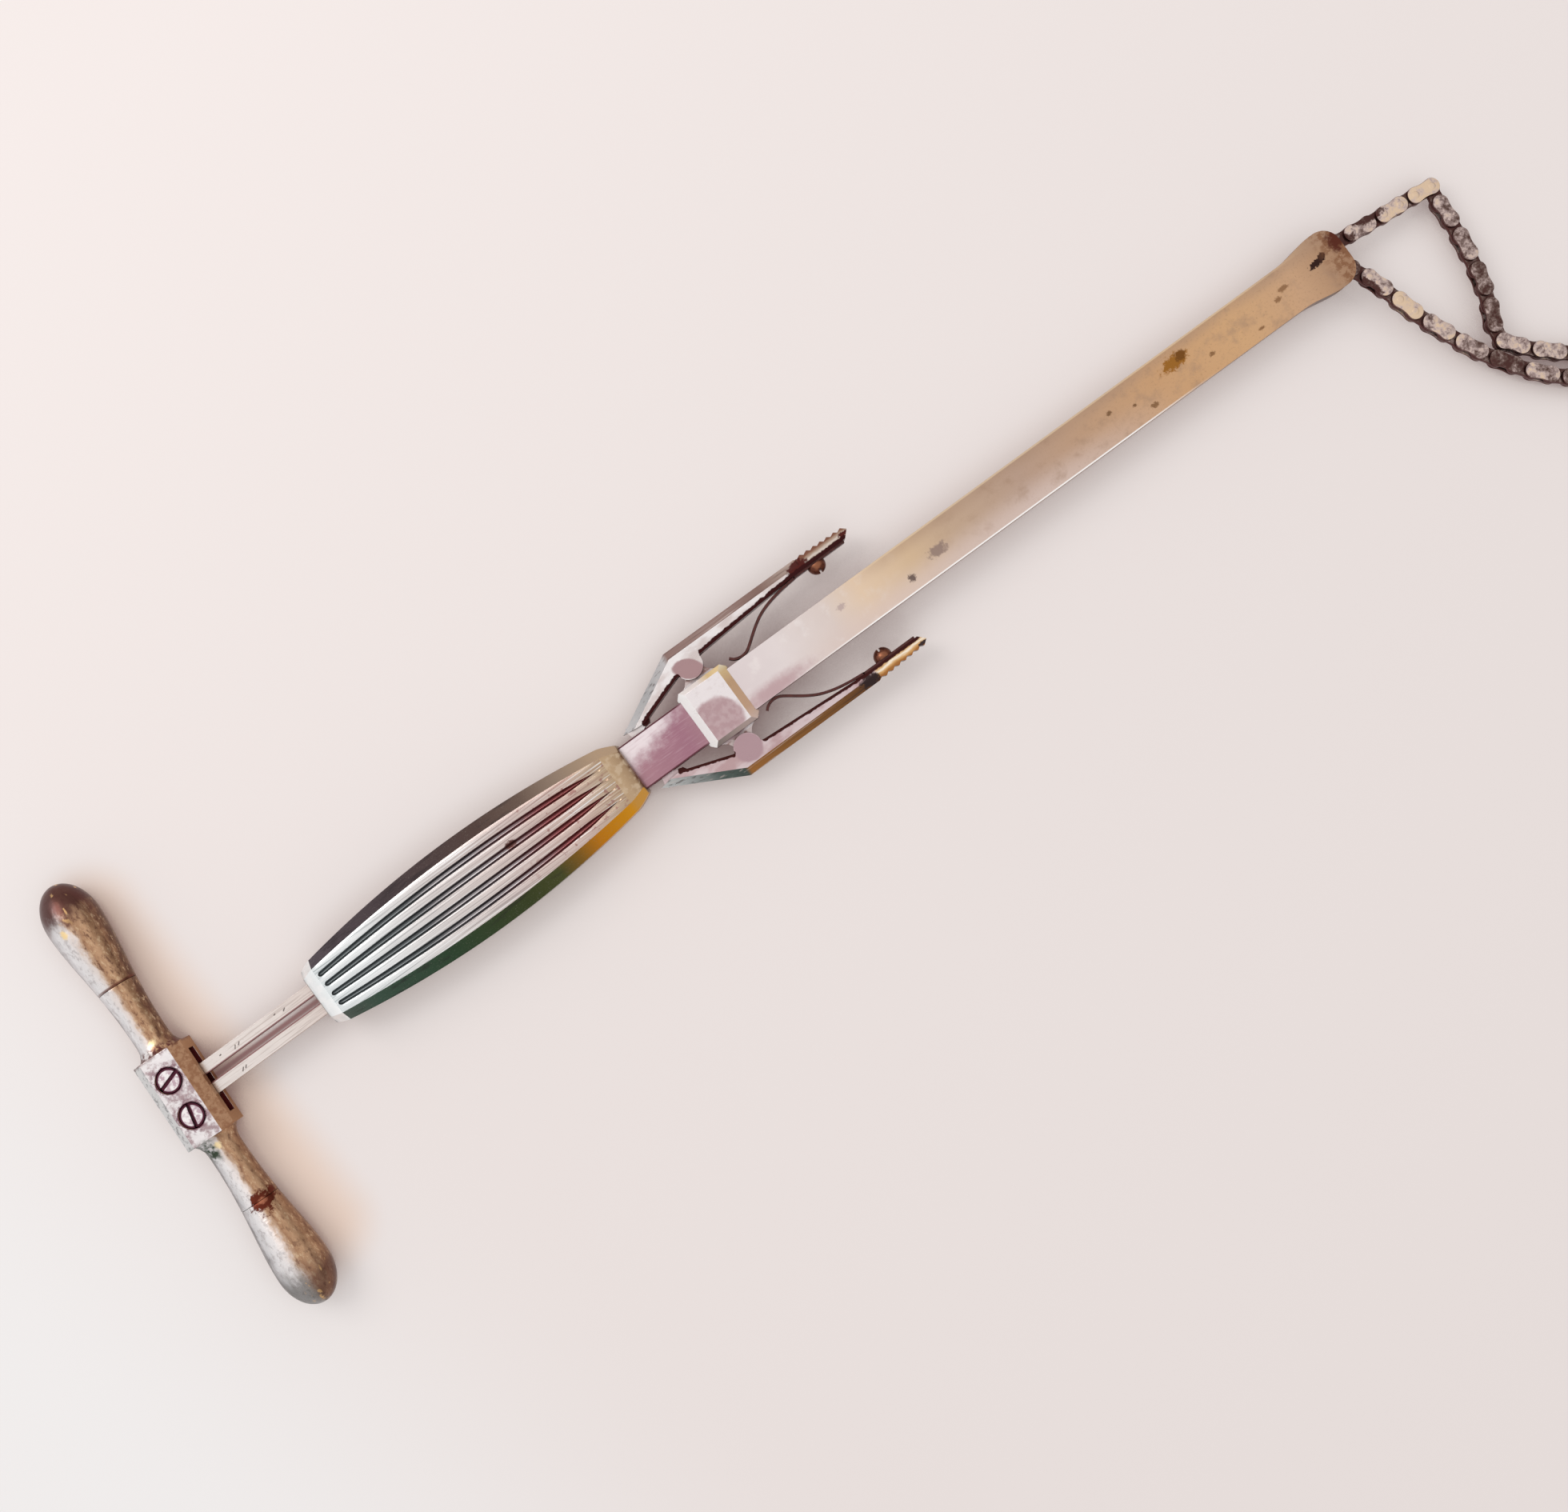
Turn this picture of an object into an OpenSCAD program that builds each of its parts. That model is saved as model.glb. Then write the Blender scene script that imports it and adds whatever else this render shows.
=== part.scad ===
// Chain ecraseur: a fluted grip and a long flat sheath that holds two toothed
// rack bars, a rocking cross handle behind, two sprung thumb pawls at a collar,
// and a loop of plate chain that leaves the mouth of the sheath.
// +X points to the chain, +Y to the left pawl, +Z up from the table.
// The origin lies on the table under the middle of the grip.

/* [Sheath tube] */
// Distance from the middle of the grip to the end of the mouth
mouth_x = 254.2; // [235:0.2:300]
// Thickness of the side walls
side_wall = 1.2; // [0.8:0.05:2]
// Thickness of the top and bottom walls
flat_wall = 1.2; // [0.8:0.05:2]
// Height of the two lanes inside
lane_h = 3.6; // [3.2:0.05:4.4]
// Thickness of the rib between the lanes
rib_t = 1.2; // [0.8:0.05:2]
// Width of the mouth at its widest
mouth_w = 14.5; // [13:0.1:18]
// Length over which the sheath flares to the mouth
flare_len = 10.6; // [6:0.2:16]
// Radius of the two corners of the mouth
mouth_r = 4.6; // [2:0.1:5.5]
// Height of the slot between the lips of the mouth
lip_gap = 4.3; // [4.1:0.05:4.8]
// Depth of the open corners of the mouth
lip_depth = 7.4; // [7:0.1:10]

/* [Grip] */
// Length of the grip with both end bands
grip_len = 91.6; // [84:0.2:110]
// Width of the grip at its belly
grip_w = 24.4; // [22:0.1:30]
// Height of the grip over its ribs
grip_h = 13.6; // [13.4:0.1:16]
// How far each side comes in from the belly to the end bands
grip_sag = 3.45; // [2:0.05:4.5]
// Length of the smooth band at the front
front_band = 4.8; // [3:0.1:8]
// Length of the bright band at the rear
rear_band = 3.4; // [3:0.1:8]
// Width of the grip's front face
front_w = 13.5; // [13.2:0.1:16]
// Width of the grip's rear face
rear_w = 14.4; // [13.2:0.1:16]
// Bevel of the top and bottom faces towards both ends
end_bevel = 1.2; // [0.4:0.1:2]
// Depth of the flutes
flute_depth = 0.8; // [0.3:0.05:1.2]
// Height of the crown on each rib
rib_crown = 0.12; // [0.04:0.02:0.3]
// Share of the half width that the plain side facet takes
facet_share = 0.27; // [0.2:0.01:0.35]

/* [Collar] */
// Length of the collar along the sheath
collar_len = 14.2; // [12:0.1:18]
// Width of the collar
collar_w = 15.6; // [14.6:0.1:16]
// Height of the collar
collar_h = 10; // [8.6:0.1:12]
// Bevel on the collar's front and rear edges
collar_bevel = 2.3; // [0.5:0.1:2.6]
// Thickness of the ears that carry the pawls
ear_t = 2; // [1.6:0.1:2.6]
// Radius of the ears round the pawl pins
ear_r = 2.9; // [2.4:0.1:3.2]

/* [Pawl levers] */
// Distance from the middle of the grip to the pawl pins
pawl_x = 70.8; // [68:0.1:76]
// Distance from the sheath's middle plane to the pawl pins
pawl_y = 12; // [11.8:0.1:13]
// Thickness of the levers
lever_t = 5.2; // [4.8:0.1:6]
// Radius of the bosses round the pins
boss_r = 3.5; // [3.1:0.1:3.6]
// Radius of the pawl pins
pawl_pin_r = 1.2; // [0.9:0.05:1.5]
// Bevel along the outer edges of the levers
lever_bevel = 1.9; // [0.6:0.1:2.2]
// Length of the long arm from the pin to its pointed tip
long_arm = 49.2; // [47.5:0.1:56]
// Turn from the resting place to full engagement
engage_deg = 3; // [2.6:0.1:3.2]
// Turn from the resting place to full release
release_deg = 5; // [2:0.5:6]

/* [Leaf springs] */
// Thickness of the leaves
leaf_t = 0.5; // [0.3:0.05:0.6]
// Width of the leaves
leaf_w = 3.6; // [2.6:0.1:4.2]
// Distance from the lever's pointed tip back to the spring screw
leaf_screw_back = 10.7; // [9.5:0.1:12]
// Radius of the spring screw's domed head
dome_r = 2.3; // [1.6:0.1:2.6]
// Height of the spring screw's domed head
dome_h = 2.7; // [1.6:0.1:3]

/* [Rack bars] */
// Width of the bars over their teeth
rack_w = 3; // [2.6:0.05:3.4]
// Distance from one tooth to the next
tooth_pitch = 3; // [2.8:0.05:3.2]
// Depth of the teeth
tooth_depth = 1; // [0.8:0.05:1.1]
// Radius of the eyes at the rear of the bars
eye_r = 2.9; // [2.5:0.1:3.2]

/* [Cross handle] */
// Distance from the middle of the grip back to the handle
handle_back = 85; // [78:0.5:110]
// Length of the handle over both bulbs
handle_len = 118; // [100:0.5:150]
// Thickness of the arms at the neck
neck_d = 8.4; // [7:0.1:10]
// Thickness of the bulbs
bulb_d = 13.4; // [11:0.1:13.6]
// Distance from the middle of the handle to the seams
seam_y = 30.4; // [24:0.2:36]
// Width of the yoke block along the sheath
yoke_x = 13; // [12:0.1:16]
// Length of the yoke block along the handle
yoke_y = 23.4; // [22.4:0.1:30]
// Height of the yoke block
yoke_h = 12.8; // [12:0.1:13.5]
// Bevel along the edges of the yoke block
yoke_bevel = 2.6; // [1:0.1:2.8]
// Distance between the two pivot screws
pivot_gap = 9.8; // [9:0.1:10.4]
// Radius of the pivot screws' shanks
pivot_r = 1.45; // [1.2:0.05:1.7]
// Radius of the pivot screws' heads
pivot_head_r = 2.95; // [2.4:0.05:3]
// Turn of the handle as it lies, left arm forward
rock_rest = 2.4; // [0:0.1:4]

/* [Chain] */
// Distance from pin to pin
link_pitch = 4.56; // [4.3:0.02:5]
// Width of the plates
plate_w = 3.7; // [3.2:0.05:3.8]
// Width of the plates at their waist
waist_w = 2.7; // [2:0.05:3]
// Thickness of the outer plates
outer_t = 0.7; // [0.5:0.05:0.8]
// Thickness of the inner plates
inner_t = 1.2; // [1.1:0.05:1.3]
// Radius of the chain's rivets
rivet_r = 0.8; // [0.6:0.05:1]
// Gap on each side of an inner plate
plate_gap = 0.1; // [0.05:0.01:0.12]
// Number of links that lie inside the sheath on each side
tail_links = 16; // [12:2:16]

/* [Fits] */
// Gap round a pin or screw that something turns on
run_fit = 0.05; // [0.02:0.01:0.08]
// Gap on each side of a bar in its lane and of the tube in the grip
slide_fit = 0.05; // [0.02:0.01:0.1]
// Gap between pieces that pass each other without touching
clear_gap = 0.3; // [0.2:0.05:0.5]

/* [Hidden] */

// Smoothness of round surfaces
round_fn = 48;
small_fn = 32;
// Overshoot of a cut past the face it opens
over = 0.5;

// Colours
nickel = [0.80, 0.78, 0.77];
brassy = [0.78, 0.70, 0.60];
dark_steel = [0.32, 0.24, 0.22];
bright = [0.86, 0.85, 0.85];
patina = [0.62, 0.57, 0.53];

// Height of the instrument's middle plane above the table
axis_z = grip_h / 2;

// Lanes of the sheath
lane_side_gap = 0.2;
lane_w = plate_w + 2 * lane_side_gap;
lane_y = rib_t / 2 + lane_w / 2;
cavity_w = rib_t + 2 * lane_w;
sheath_w = cavity_w + 2 * side_wall;
sheath_h = lane_h + 2 * flat_wall;
lip_x = mouth_x - lip_depth;
flare_end_x = mouth_x - mouth_r - 1;
flare_x = flare_end_x - flare_len;
tube_back_x = -grip_len / 2 + rear_band;

// Grip outline: an arc of this radius, then straight tapers in the end bands
shell_back_x = tube_back_x;
shell_front_x = grip_len / 2 - front_band;
grip_arc_r = (pow(shell_front_x, 2) + pow(grip_sag, 2)) / (2 * grip_sag);
flute_share = 0.073;
rib_share = (1 - 4 * flute_share) / 5;
flute_fade = 5;
fade_margin = 0.4;
facet_slope = 1.15;
band_curve = 1.3;
wear = rib_crown * 0.7;
shell_steps = 24;
cap_screw_z = 4.4;
cap_screw_r = 0.7;
cap_head_r = 1.05;
cap_head_h = 1;
cap_slot_w = 0.4;
cap_slot_d = 0.4;
cap_screw_len = 7;

// Racks
rack_h = lane_h - 2 * slide_fit;
rack_in = lane_y - rack_w / 2;
rack_out = lane_y + rack_w / 2;
tooth_root = rack_out - tooth_depth;
tooth_flat = 1;
tooth_crest = 0.3;

// The pawl nose in its tooth gap, seen from the pawl pin
nose_dx = -20.6;
nose_x = pawl_x + nose_dx;
nose_side_gap = 0.5;
nose_tip = 0.3;
nose_lift = 0.1;
nose_h = 2.8;
window_back = 2.6;
window_front = 7.6;

// Chain inside and outside
plate_r = plate_w / 2;
chain_half = inner_t / 2 + plate_gap + outer_t;
rivet_hole_r = rivet_r + run_fit;
root_inset = 4.9;
root_x = mouth_x - root_inset;
step_room = tooth_pitch + clear_gap - 0.1;
root_plate_t = inner_t - clear_gap;
anchor_x = root_x - step_room - tail_links * link_pitch;
rack_front_x = anchor_x - plate_r - clear_gap;
rack_teeth = floor((rack_front_x - clear_gap - nose_x) / tooth_pitch);

// Headings of the links, in degrees, from the mouth outwards on each strand
left_headings = [
    -2, -5, -6, -5, -4, -5, -6,
    -98, -92, -96, -98, -101, -104, -110, -116,
    -98, -50, -46, -42, -38, -37, -37, -37, -38, -39, -41, -48
];
right_headings = [
    -26, -63, -70, -74, -73, -70, -66, -67, -63, -58, -55, -53, -47, -42,
    -40, -40, -39, -39, -39, -38, -37, -35
];
function heading(a) = [cos(a), sin(a)];
function walk(start, turns) = [
    for (
        i = 0, p = start;
        i <= len(turns);
        i = i + 1, p = i > len(turns) ? p : p + link_pitch * heading(turns[i - 1])
    ) p
];
left_walk = walk([root_x, lane_y], left_headings);
right_walk = walk([root_x, -lane_y], right_headings);

// The last two links meet at the apex of an isosceles triangle
left_end = left_walk[len(left_walk) - 1];
right_end = right_walk[len(right_walk) - 1];
end_half = (left_end - right_end) / 2;
end_mid = (left_end + right_end) / 2;
end_rise = sqrt(pow(link_pitch, 2) - end_half * end_half);
apex = end_mid + end_rise * [end_half[1], -end_half[0]] / norm(end_half);
left_pins = concat(left_walk, [apex]);
right_pins = concat(right_walk, [apex]);
unit_links = 4;

// The plane of the loop hangs from the mouth down to the table
chain_reach = max([for (p = concat(left_pins, right_pins)) p[0]]) + plate_r - root_x;
table_gap = 0.05;
droop = asin((axis_z - chain_half - table_gap) / chain_reach);

// Pivots of the cross handle
handle_x = -handle_back;
left_pivot = [handle_x + pivot_gap / 2 * sin(rock_rest), pivot_gap / 2 * cos(rock_rest)];
right_pivot = [handle_x - pivot_gap / 2 * sin(rock_rest), -pivot_gap / 2 * cos(rock_rest)];
rock_deg = tooth_pitch / pivot_gap * 180 / PI;
eye_play = pivot_gap * (cos(rock_rest) - cos(rock_deg + rock_rest)) + run_fit;
eye_hole_r = pivot_r + run_fit;
eye_neck = 5.5;
eye_lean = 1.2;
eye_flank = eye_r - clear_gap;
wide_eye_r = eye_hole_r + 0.1;
yoke_slot_h = rack_h + 2 * slide_fit;
yoke_slot_y = 17.8;
yoke_slot_back = eye_r + clear_gap + 0.1;
pivot_head_h = 1.7;
pivot_ring = 0.2;
pivot_depth = 3.4;
screw_slot_w = 0.85;
screw_slot_d = 0.7;
spigot_r = 2.4;
spigot_len = 8;
seam_gap = 0.35;

// Shared helpers
module mid_plane() {
    translate([0, 0, axis_z]) children();
}
module slab(t) {
    linear_extrude(t, center = true) children();
}
module across(len) {
    rotate([90, 0, 0]) linear_extrude(len, center = true) children();
}
module along(len) {
    rotate([90, 0, 90]) linear_extrude(len, center = true) children();
}
module bevelled(w, h, b) {
    polygon([
        [w / 2 - b, -h / 2], [w / 2, -h / 2 + b], [w / 2, h / 2 - b], [w / 2 - b, h / 2],
        [-w / 2 + b, h / 2], [-w / 2, h / 2 - b], [-w / 2, -h / 2 + b], [-w / 2 + b, -h / 2]
    ]);
}

// Half width of the sheath in plan, flaring to the mouth
function ease(t) = t <= 0 ? 0 : t >= 1 ? 1 : t * t * (3 - 2 * t);
function sheath_half(x) =
    sheath_w / 2 + (mouth_w - sheath_w) / 2 * ease((x - flare_x) / flare_len);
sheath_edge = concat(
    [[tube_back_x, sheath_w / 2]],
    [for (i = [0:10]) let (x = flare_x + flare_len * i / 10) [x, sheath_half(x)]],
    [for (a = [90:-10:0])
        [mouth_x - mouth_r + mouth_r * cos(a), mouth_w / 2 - mouth_r + mouth_r * sin(a)]]
);

module sheath_plan() {
    polygon(concat(
        sheath_edge,
        [for (i = [len(sheath_edge) - 1:-1:0]) [sheath_edge[i][0], -sheath_edge[i][1]]]
    ));
}

module sheath_tube() color(brassy) mid_plane() difference() {
    slab(sheath_h) sheath_plan();
    translate([tube_back_x - over, -cavity_w / 2, -lane_h / 2])
        cube([lip_x - tube_back_x + 2 * over, cavity_w, lane_h]);
    translate([lip_x, -mouth_w / 2 - over, -lip_gap / 2])
        cube([lip_depth + over, mouth_w + 2 * over, lip_gap]);
    translate([nose_x - window_back, -sheath_w / 2 - over, -nose_h / 2 - clear_gap])
        cube([window_back + window_front, sheath_w + 2 * over, nose_h + 2 * clear_gap]);
}

module centre_rib() color(dark_steel) mid_plane()
    translate([tube_back_x, -rib_t / 2, -lane_h / 2])
        cube([lip_x - clear_gap - tube_back_x, rib_t, lane_h]);

// Half width and half height of the grip at any place along it
function grip_arc(x) = grip_w / 2 - (grip_arc_r - sqrt(pow(grip_arc_r, 2) - x * x));
function band_mix(x, from_x, to_x, from_w, to_w) =
    from_w + (to_w - from_w) * pow((x - from_x) / (to_x - from_x), band_curve);
function grip_half(x) =
    x < shell_back_x ? band_mix(-x, -shell_back_x, grip_len / 2, grip_arc(shell_back_x), rear_w / 2)
    : x > shell_front_x
        ? band_mix(x, shell_front_x, grip_len / 2, grip_arc(shell_front_x), front_w / 2)
    : grip_arc(x);
function grip_tall(x) =
    x < shell_back_x ? band_mix(-x, -shell_back_x, grip_len / 2, grip_h / 2, grip_h / 2 - end_bevel)
    : x > shell_front_x ? band_mix(x, shell_front_x, grip_len / 2, grip_h / 2, grip_h / 2 - end_bevel)
    : grip_h / 2;
function fade(x) =
    ease((x - shell_back_x - fade_margin) / flute_fade)
    * ease((shell_front_x - fade_margin - x) / flute_fade);

// Places across the fluted face, from 0 to 1, each with its depth below the crown
function flute_start(j) = (j + 1) * rib_share + j * flute_share;
flute_points = concat(
    [[0, 1, 0], [rib_share / 2, 0, 0]],
    [for (j = [0:3], k = [0:5]) k < 5
        ? [flute_start(j) + flute_share * k / 4, 1, sin(45 * k)]
        : [flute_start(j) + flute_share + rib_share / 2, 0, 0]],
    [[1, 1, 0]]
);
plain_points = [[0, 0, 0], [1, 0, 0]];

// One section of the grip as points from the left edge over the top and back below
function grip_ring(x, fluted) =
    let (
        w = grip_half(x),
        h = grip_tall(x),
        flutes = fluted ? fade(x) : 0,
        face = w * (1 - facet_share),
        land = h - w * facet_share * facet_slope,
        top = [for (p = fluted ? flute_points : plain_points)
            [x, face * (1 - 2 * p[0]), h - flutes * (rib_crown * p[1] + flute_depth * p[2])]]
    )
    concat(
        [[x, w, land]],
        top,
        [[x, -w, land], [x, -w, -land]],
        [for (i = [len(top) - 1:-1:0]) [x, top[i][1], -top[i][2] - (fluted ? wear : 0)]],
        [[x, w, -land]]
    );

module grip_loft(stations, fluted) {
    rings = [for (x = stations) grip_ring(x, fluted)];
    n = len(rings[0]);
    last = len(rings) - 1;
    polyhedron(
        points = [for (ring = rings, p = ring) p],
        faces = concat(
            [[for (k = [0:n - 1]) k]],
            [for (i = [0:last - 1], k = [0:n - 1], half = [0, 1])
                let (a = i * n + k, b = i * n + (k + 1) % n)
                half == 0 ? [a, b + n, b] : [a, a + n, b + n]],
            [[for (k = [n - 1:-1:0]) last * n + k]]
        )
    );
}

module tube_bore(from_x, to_x) {
    translate([from_x, -sheath_w / 2 - slide_fit, -sheath_h / 2 - slide_fit])
        cube([to_x - from_x, sheath_w + 2 * slide_fit, sheath_h + 2 * slide_fit]);
}

// The lowest ribs are worn flat, which gives the face that the grip rests on
module grip_shell() color(nickel) difference() {
    mid_plane() grip_loft([for (i = [0:shell_steps])
        shell_back_x + (shell_front_x - shell_back_x) * i / shell_steps], true);
    mid_plane() tube_bore(shell_back_x - over, shell_front_x + over);
    translate([shell_back_x - over, -grip_w, -grip_h])
        cube([grip_len, 2 * grip_w, grip_h]);
    cap_screw_holes(cap_screw_r);
}

module grip_front_ring() color(bright) mid_plane() difference() {
    grip_loft([for (i = [0:6]) shell_front_x + front_band * i / 6], false);
    tube_bore(shell_front_x - over, grip_len / 2 + over);
}

module cap_screw_holes(r) {
    for (side = [-1, 1]) translate([-grip_len / 2 - over, 0, axis_z + side * cap_screw_z])
        rotate([0, 90, 0]) cylinder(r = r, h = cap_screw_len + over, $fn = small_fn);
}

module grip_rear_cap() color(bright) difference() {
    mid_plane() grip_loft([for (i = [0:6]) -grip_len / 2 + rear_band * i / 6], false);
    mid_plane() translate([-grip_len / 2 - over, -cavity_w / 2, -lane_h / 2])
        cube([rear_band + 2 * over, cavity_w, lane_h]);
    cap_screw_holes(cap_screw_r);
    for (side = [-1, 1]) translate([-grip_len / 2 - over, 0, axis_z + side * cap_screw_z])
        rotate([0, 90, 0]) cylinder(r = cap_head_r, h = cap_head_h + over, $fn = small_fn);
}

module cap_screws() color(dark_steel)
    for (side = [-1, 1]) translate([-grip_len / 2, 0, axis_z + side * cap_screw_z])
        rotate([0, 90, 0]) difference() {
            union() {
                cylinder(r = cap_head_r - run_fit, h = cap_head_h - run_fit, $fn = small_fn);
                cylinder(r = cap_screw_r - run_fit, h = cap_screw_len - run_fit, $fn = small_fn);
            }
            translate([-cap_slot_w / 2, -cap_head_r, -over])
                cube([cap_slot_w, 2 * cap_head_r, over + cap_slot_d]);
        }

// Collar: a block bevelled on every upper and lower edge, with an ear on each side
ear_inset = 0.6;
ear_fillet_r = 3.9;
ear_fillet_dx = ear_r + 3.4;
module ear_plan() {
    difference() {
        union() {
            translate([pawl_x, pawl_y]) circle(r = ear_r, $fn = round_fn);
            translate([pawl_x - collar_len / 2 + ear_inset, 0])
                square([collar_len - 2 * ear_inset, pawl_y]);
        }
        for (side = [-1, 1]) translate([pawl_x + side * ear_fillet_dx, pawl_y - ear_inset])
            circle(r = ear_fillet_r, $fn = round_fn);
    }
}

module collar() color(nickel) mid_plane() difference() {
    union() {
        translate([pawl_x, 0, 0]) intersection() {
            across(collar_w) bevelled(collar_len, collar_h, collar_bevel);
            along(collar_len) bevelled(collar_w, collar_h, collar_bevel / 2);
            slab(collar_h) bevelled(collar_len, collar_w, collar_bevel / 2);
        }
        for (side = [0, 1]) mirror([0, side, 0]) slab(ear_t) ear_plan();
    }
    tube_bore(pawl_x - collar_len, pawl_x + collar_len);
    for (side = [-1, 1]) translate([pawl_x, side * pawl_y, 0])
        cylinder(r = pawl_pin_r + run_fit, h = 2 * ear_t, center = true, $fn = small_fn);
}

// Pawl pins come up from below through the lower cheek and stop under the upper face
pin_cap = 0.7;
pin_head_r = pawl_pin_r + 0.9;
pin_head_h = 0.7;
pin_slot_w = 0.5;
pin_slot_d = 0.35;
module pawl_pin() color(dark_steel) mid_plane() translate([pawl_x, pawl_y, -lever_t / 2])
    difference() {
        union() {
            cylinder(r = pin_head_r, h = pin_head_h, $fn = small_fn);
            cylinder(r = pawl_pin_r, h = lever_t - pin_cap - run_fit, $fn = small_fn);
        }
        translate([-pin_head_r, -pin_slot_w / 2, -over])
            cube([2 * pin_head_r, pin_slot_w, over + pin_slot_d]);
    }

// Lever outline, seen from its pin
bend = [-3.4, 5.7];
heel = [-22.4, -4.3];
toe_x = -18.6;
arch_x = -16.2;
grip_edge_y = 5.6;
tip_teeth = 7;
tip_start = long_arm - 14.6;
tip_step = 1.9;
tip_cut = 0.5;
seat_y = 2.35;
seat_len = 16.5;
seat_start = long_arm - seat_len;
leaf_screw_dx = long_arm - leaf_screw_back;
// Lowest place of the thick arm at rest that still clears the sheath's wall when engaged
function wall_line(x) = (sheath_w / 2 + clear_gap - pawl_y - x * sin(engage_deg)) / cos(engage_deg);
lever_edge = concat(
    [heel, bend, [tip_start, grip_edge_y]],
    [for (i = [0:tip_teeth - 1], k = [0, 1])
        [tip_start + tip_step * (i + k * 0.55 + 0.45), grip_edge_y - (k == 0 ? tip_cut : 0) - 0.09 * i]],
    [
        [long_arm, 4], [long_arm - 1.6, seat_y], [seat_start, seat_y],
        [seat_start - 6, 2], [4.4, 0.6], [-3.9, -0.8],
        [arch_x, wall_line(arch_x)], [toe_x, wall_line(toe_x)]
    ]
);

// Nose in the engaged place: steep behind, sloping in front
nose_edge = [
    [nose_dx + nose_side_gap, tooth_root + nose_lift - pawl_y],
    [nose_dx + nose_side_gap + nose_tip, tooth_root + nose_lift - pawl_y],
    [nose_dx + 4, -6.6],
    [nose_dx + 4.6, -5.6],
    [nose_dx - 0.3, -4.4],
    [nose_dx - 0.3, -5.6]
];
// Thin web between the thick arm and the nose, which dips into the sheath's window
web_edge = [
    [toe_x - 3, -4.4], [toe_x + 4, -4.2], [arch_x + 0.8, -5.5],
    [toe_x, sheath_w / 2 + lane_side_gap - pawl_y], [toe_x - 2, -5.7]
];

module outer_bevel(from_p, to_p) {
    run = to_p - from_p;
    for (side = [0, 1]) mirror([0, 0, side]) translate([from_p[0], from_p[1], lever_t / 2])
        rotate([0, 0, atan2(run[1], run[0])]) translate([-over, -lever_bevel, 0])
            rotate([-45, 0, 0]) cube([norm(run) + 2 * over, 2 * lever_bevel, 2 * lever_bevel]);
}

module pawl_lever() color(nickel) mid_plane() translate([pawl_x, pawl_y, 0]) difference() {
    union() {
        slab(lever_t) {
            polygon(lever_edge);
            circle(r = boss_r, $fn = round_fn);
        }
        slab(nose_h) polygon(web_edge);
        rotate([0, 0, -engage_deg]) slab(nose_h) polygon(nose_edge);
    }
    outer_bevel(heel, bend);
    outer_bevel(bend, [tip_start, grip_edge_y]);
    translate([-boss_r - 1.2, -pawl_y, -ear_t / 2 - clear_gap / 2])
        cube([2 * boss_r + 2.4, pawl_y + ear_r + clear_gap, ear_t + clear_gap]);
    translate([0, 0, -lever_t / 2 - over])
        cylinder(r = pawl_pin_r + run_fit, h = lever_t - pin_cap + over, $fn = small_fn);
    translate([0, 0, -lever_t / 2 - over])
        cylinder(r = pin_head_r + 2 * run_fit, h = pin_head_h + run_fit + over, $fn = small_fn);
    translate([leaf_screw_dx, seat_y, 0]) rotate([-90, 0, 0])
        translate([0, 0, -over])
            cylinder(r = leaf_shank_r + run_fit, h = leaf_shank_len + over, $fn = small_fn);
}

// Leaf springs: a bent strip with its hooked end beside the sheath
leaf_shank_r = 0.8;
leaf_shank_len = 2.2;
leaf_seat = [seat_start + 1, seat_y - leaf_t / 2];
leaf_low = sheath_w / 2 + 0.2 + leaf_t / 2 - pawl_y;
leaf_foot = [12, leaf_low];
leaf_end_x = long_arm - 2.2;
leaf_rise = leaf_seat - leaf_foot;

// The hook is in millimetres from the foot, the rise in shares of the way up to the seat
leaf_path = concat(
    [for (p = [[-3.3, 1.3], [-2.4, 0.5], [-1.2, 0.05], [0, 0]]) leaf_foot + p],
    [for (s = [
        [0.055, 0.04], [0.12, 0.155], [0.2, 0.32], [0.3, 0.515], [0.42, 0.7], [0.57, 0.84],
        [0.74, 0.93], [0.93, 0.985], [1, 1]
    ]) leaf_foot + [s[0] * leaf_rise[0], s[1] * leaf_rise[1]]],
    [[leaf_end_x, leaf_seat[1]]]
);
function unit(v) = v / norm(v);
function leaf_way(i) = unit(
    leaf_path[min(i + 1, len(leaf_path) - 1)] - leaf_path[max(i - 1, 0)]
);
function leaf_side(i, side) =
    leaf_path[i] + side * leaf_t / 2 * [-leaf_way(i)[1], leaf_way(i)[0]];
module leaf_spring() color(dark_steel) mid_plane() translate([pawl_x, pawl_y, 0]) difference() {
    slab(leaf_w) polygon(concat(
        [for (i = [0:len(leaf_path) - 3]) leaf_side(i, 1)],
        [[leaf_seat[0], seat_y], [leaf_end_x, seat_y]],
        [[leaf_end_x, seat_y - leaf_t], [leaf_seat[0], seat_y - leaf_t]],
        [for (i = [len(leaf_path) - 3:-1:0]) leaf_side(i, -1)]
    ));
    translate([leaf_screw_dx, seat_y - leaf_t - over, 0]) rotate([-90, 0, 0])
        cylinder(r = leaf_shank_r + run_fit, h = leaf_t + 2 * over, $fn = small_fn);
}

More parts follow.
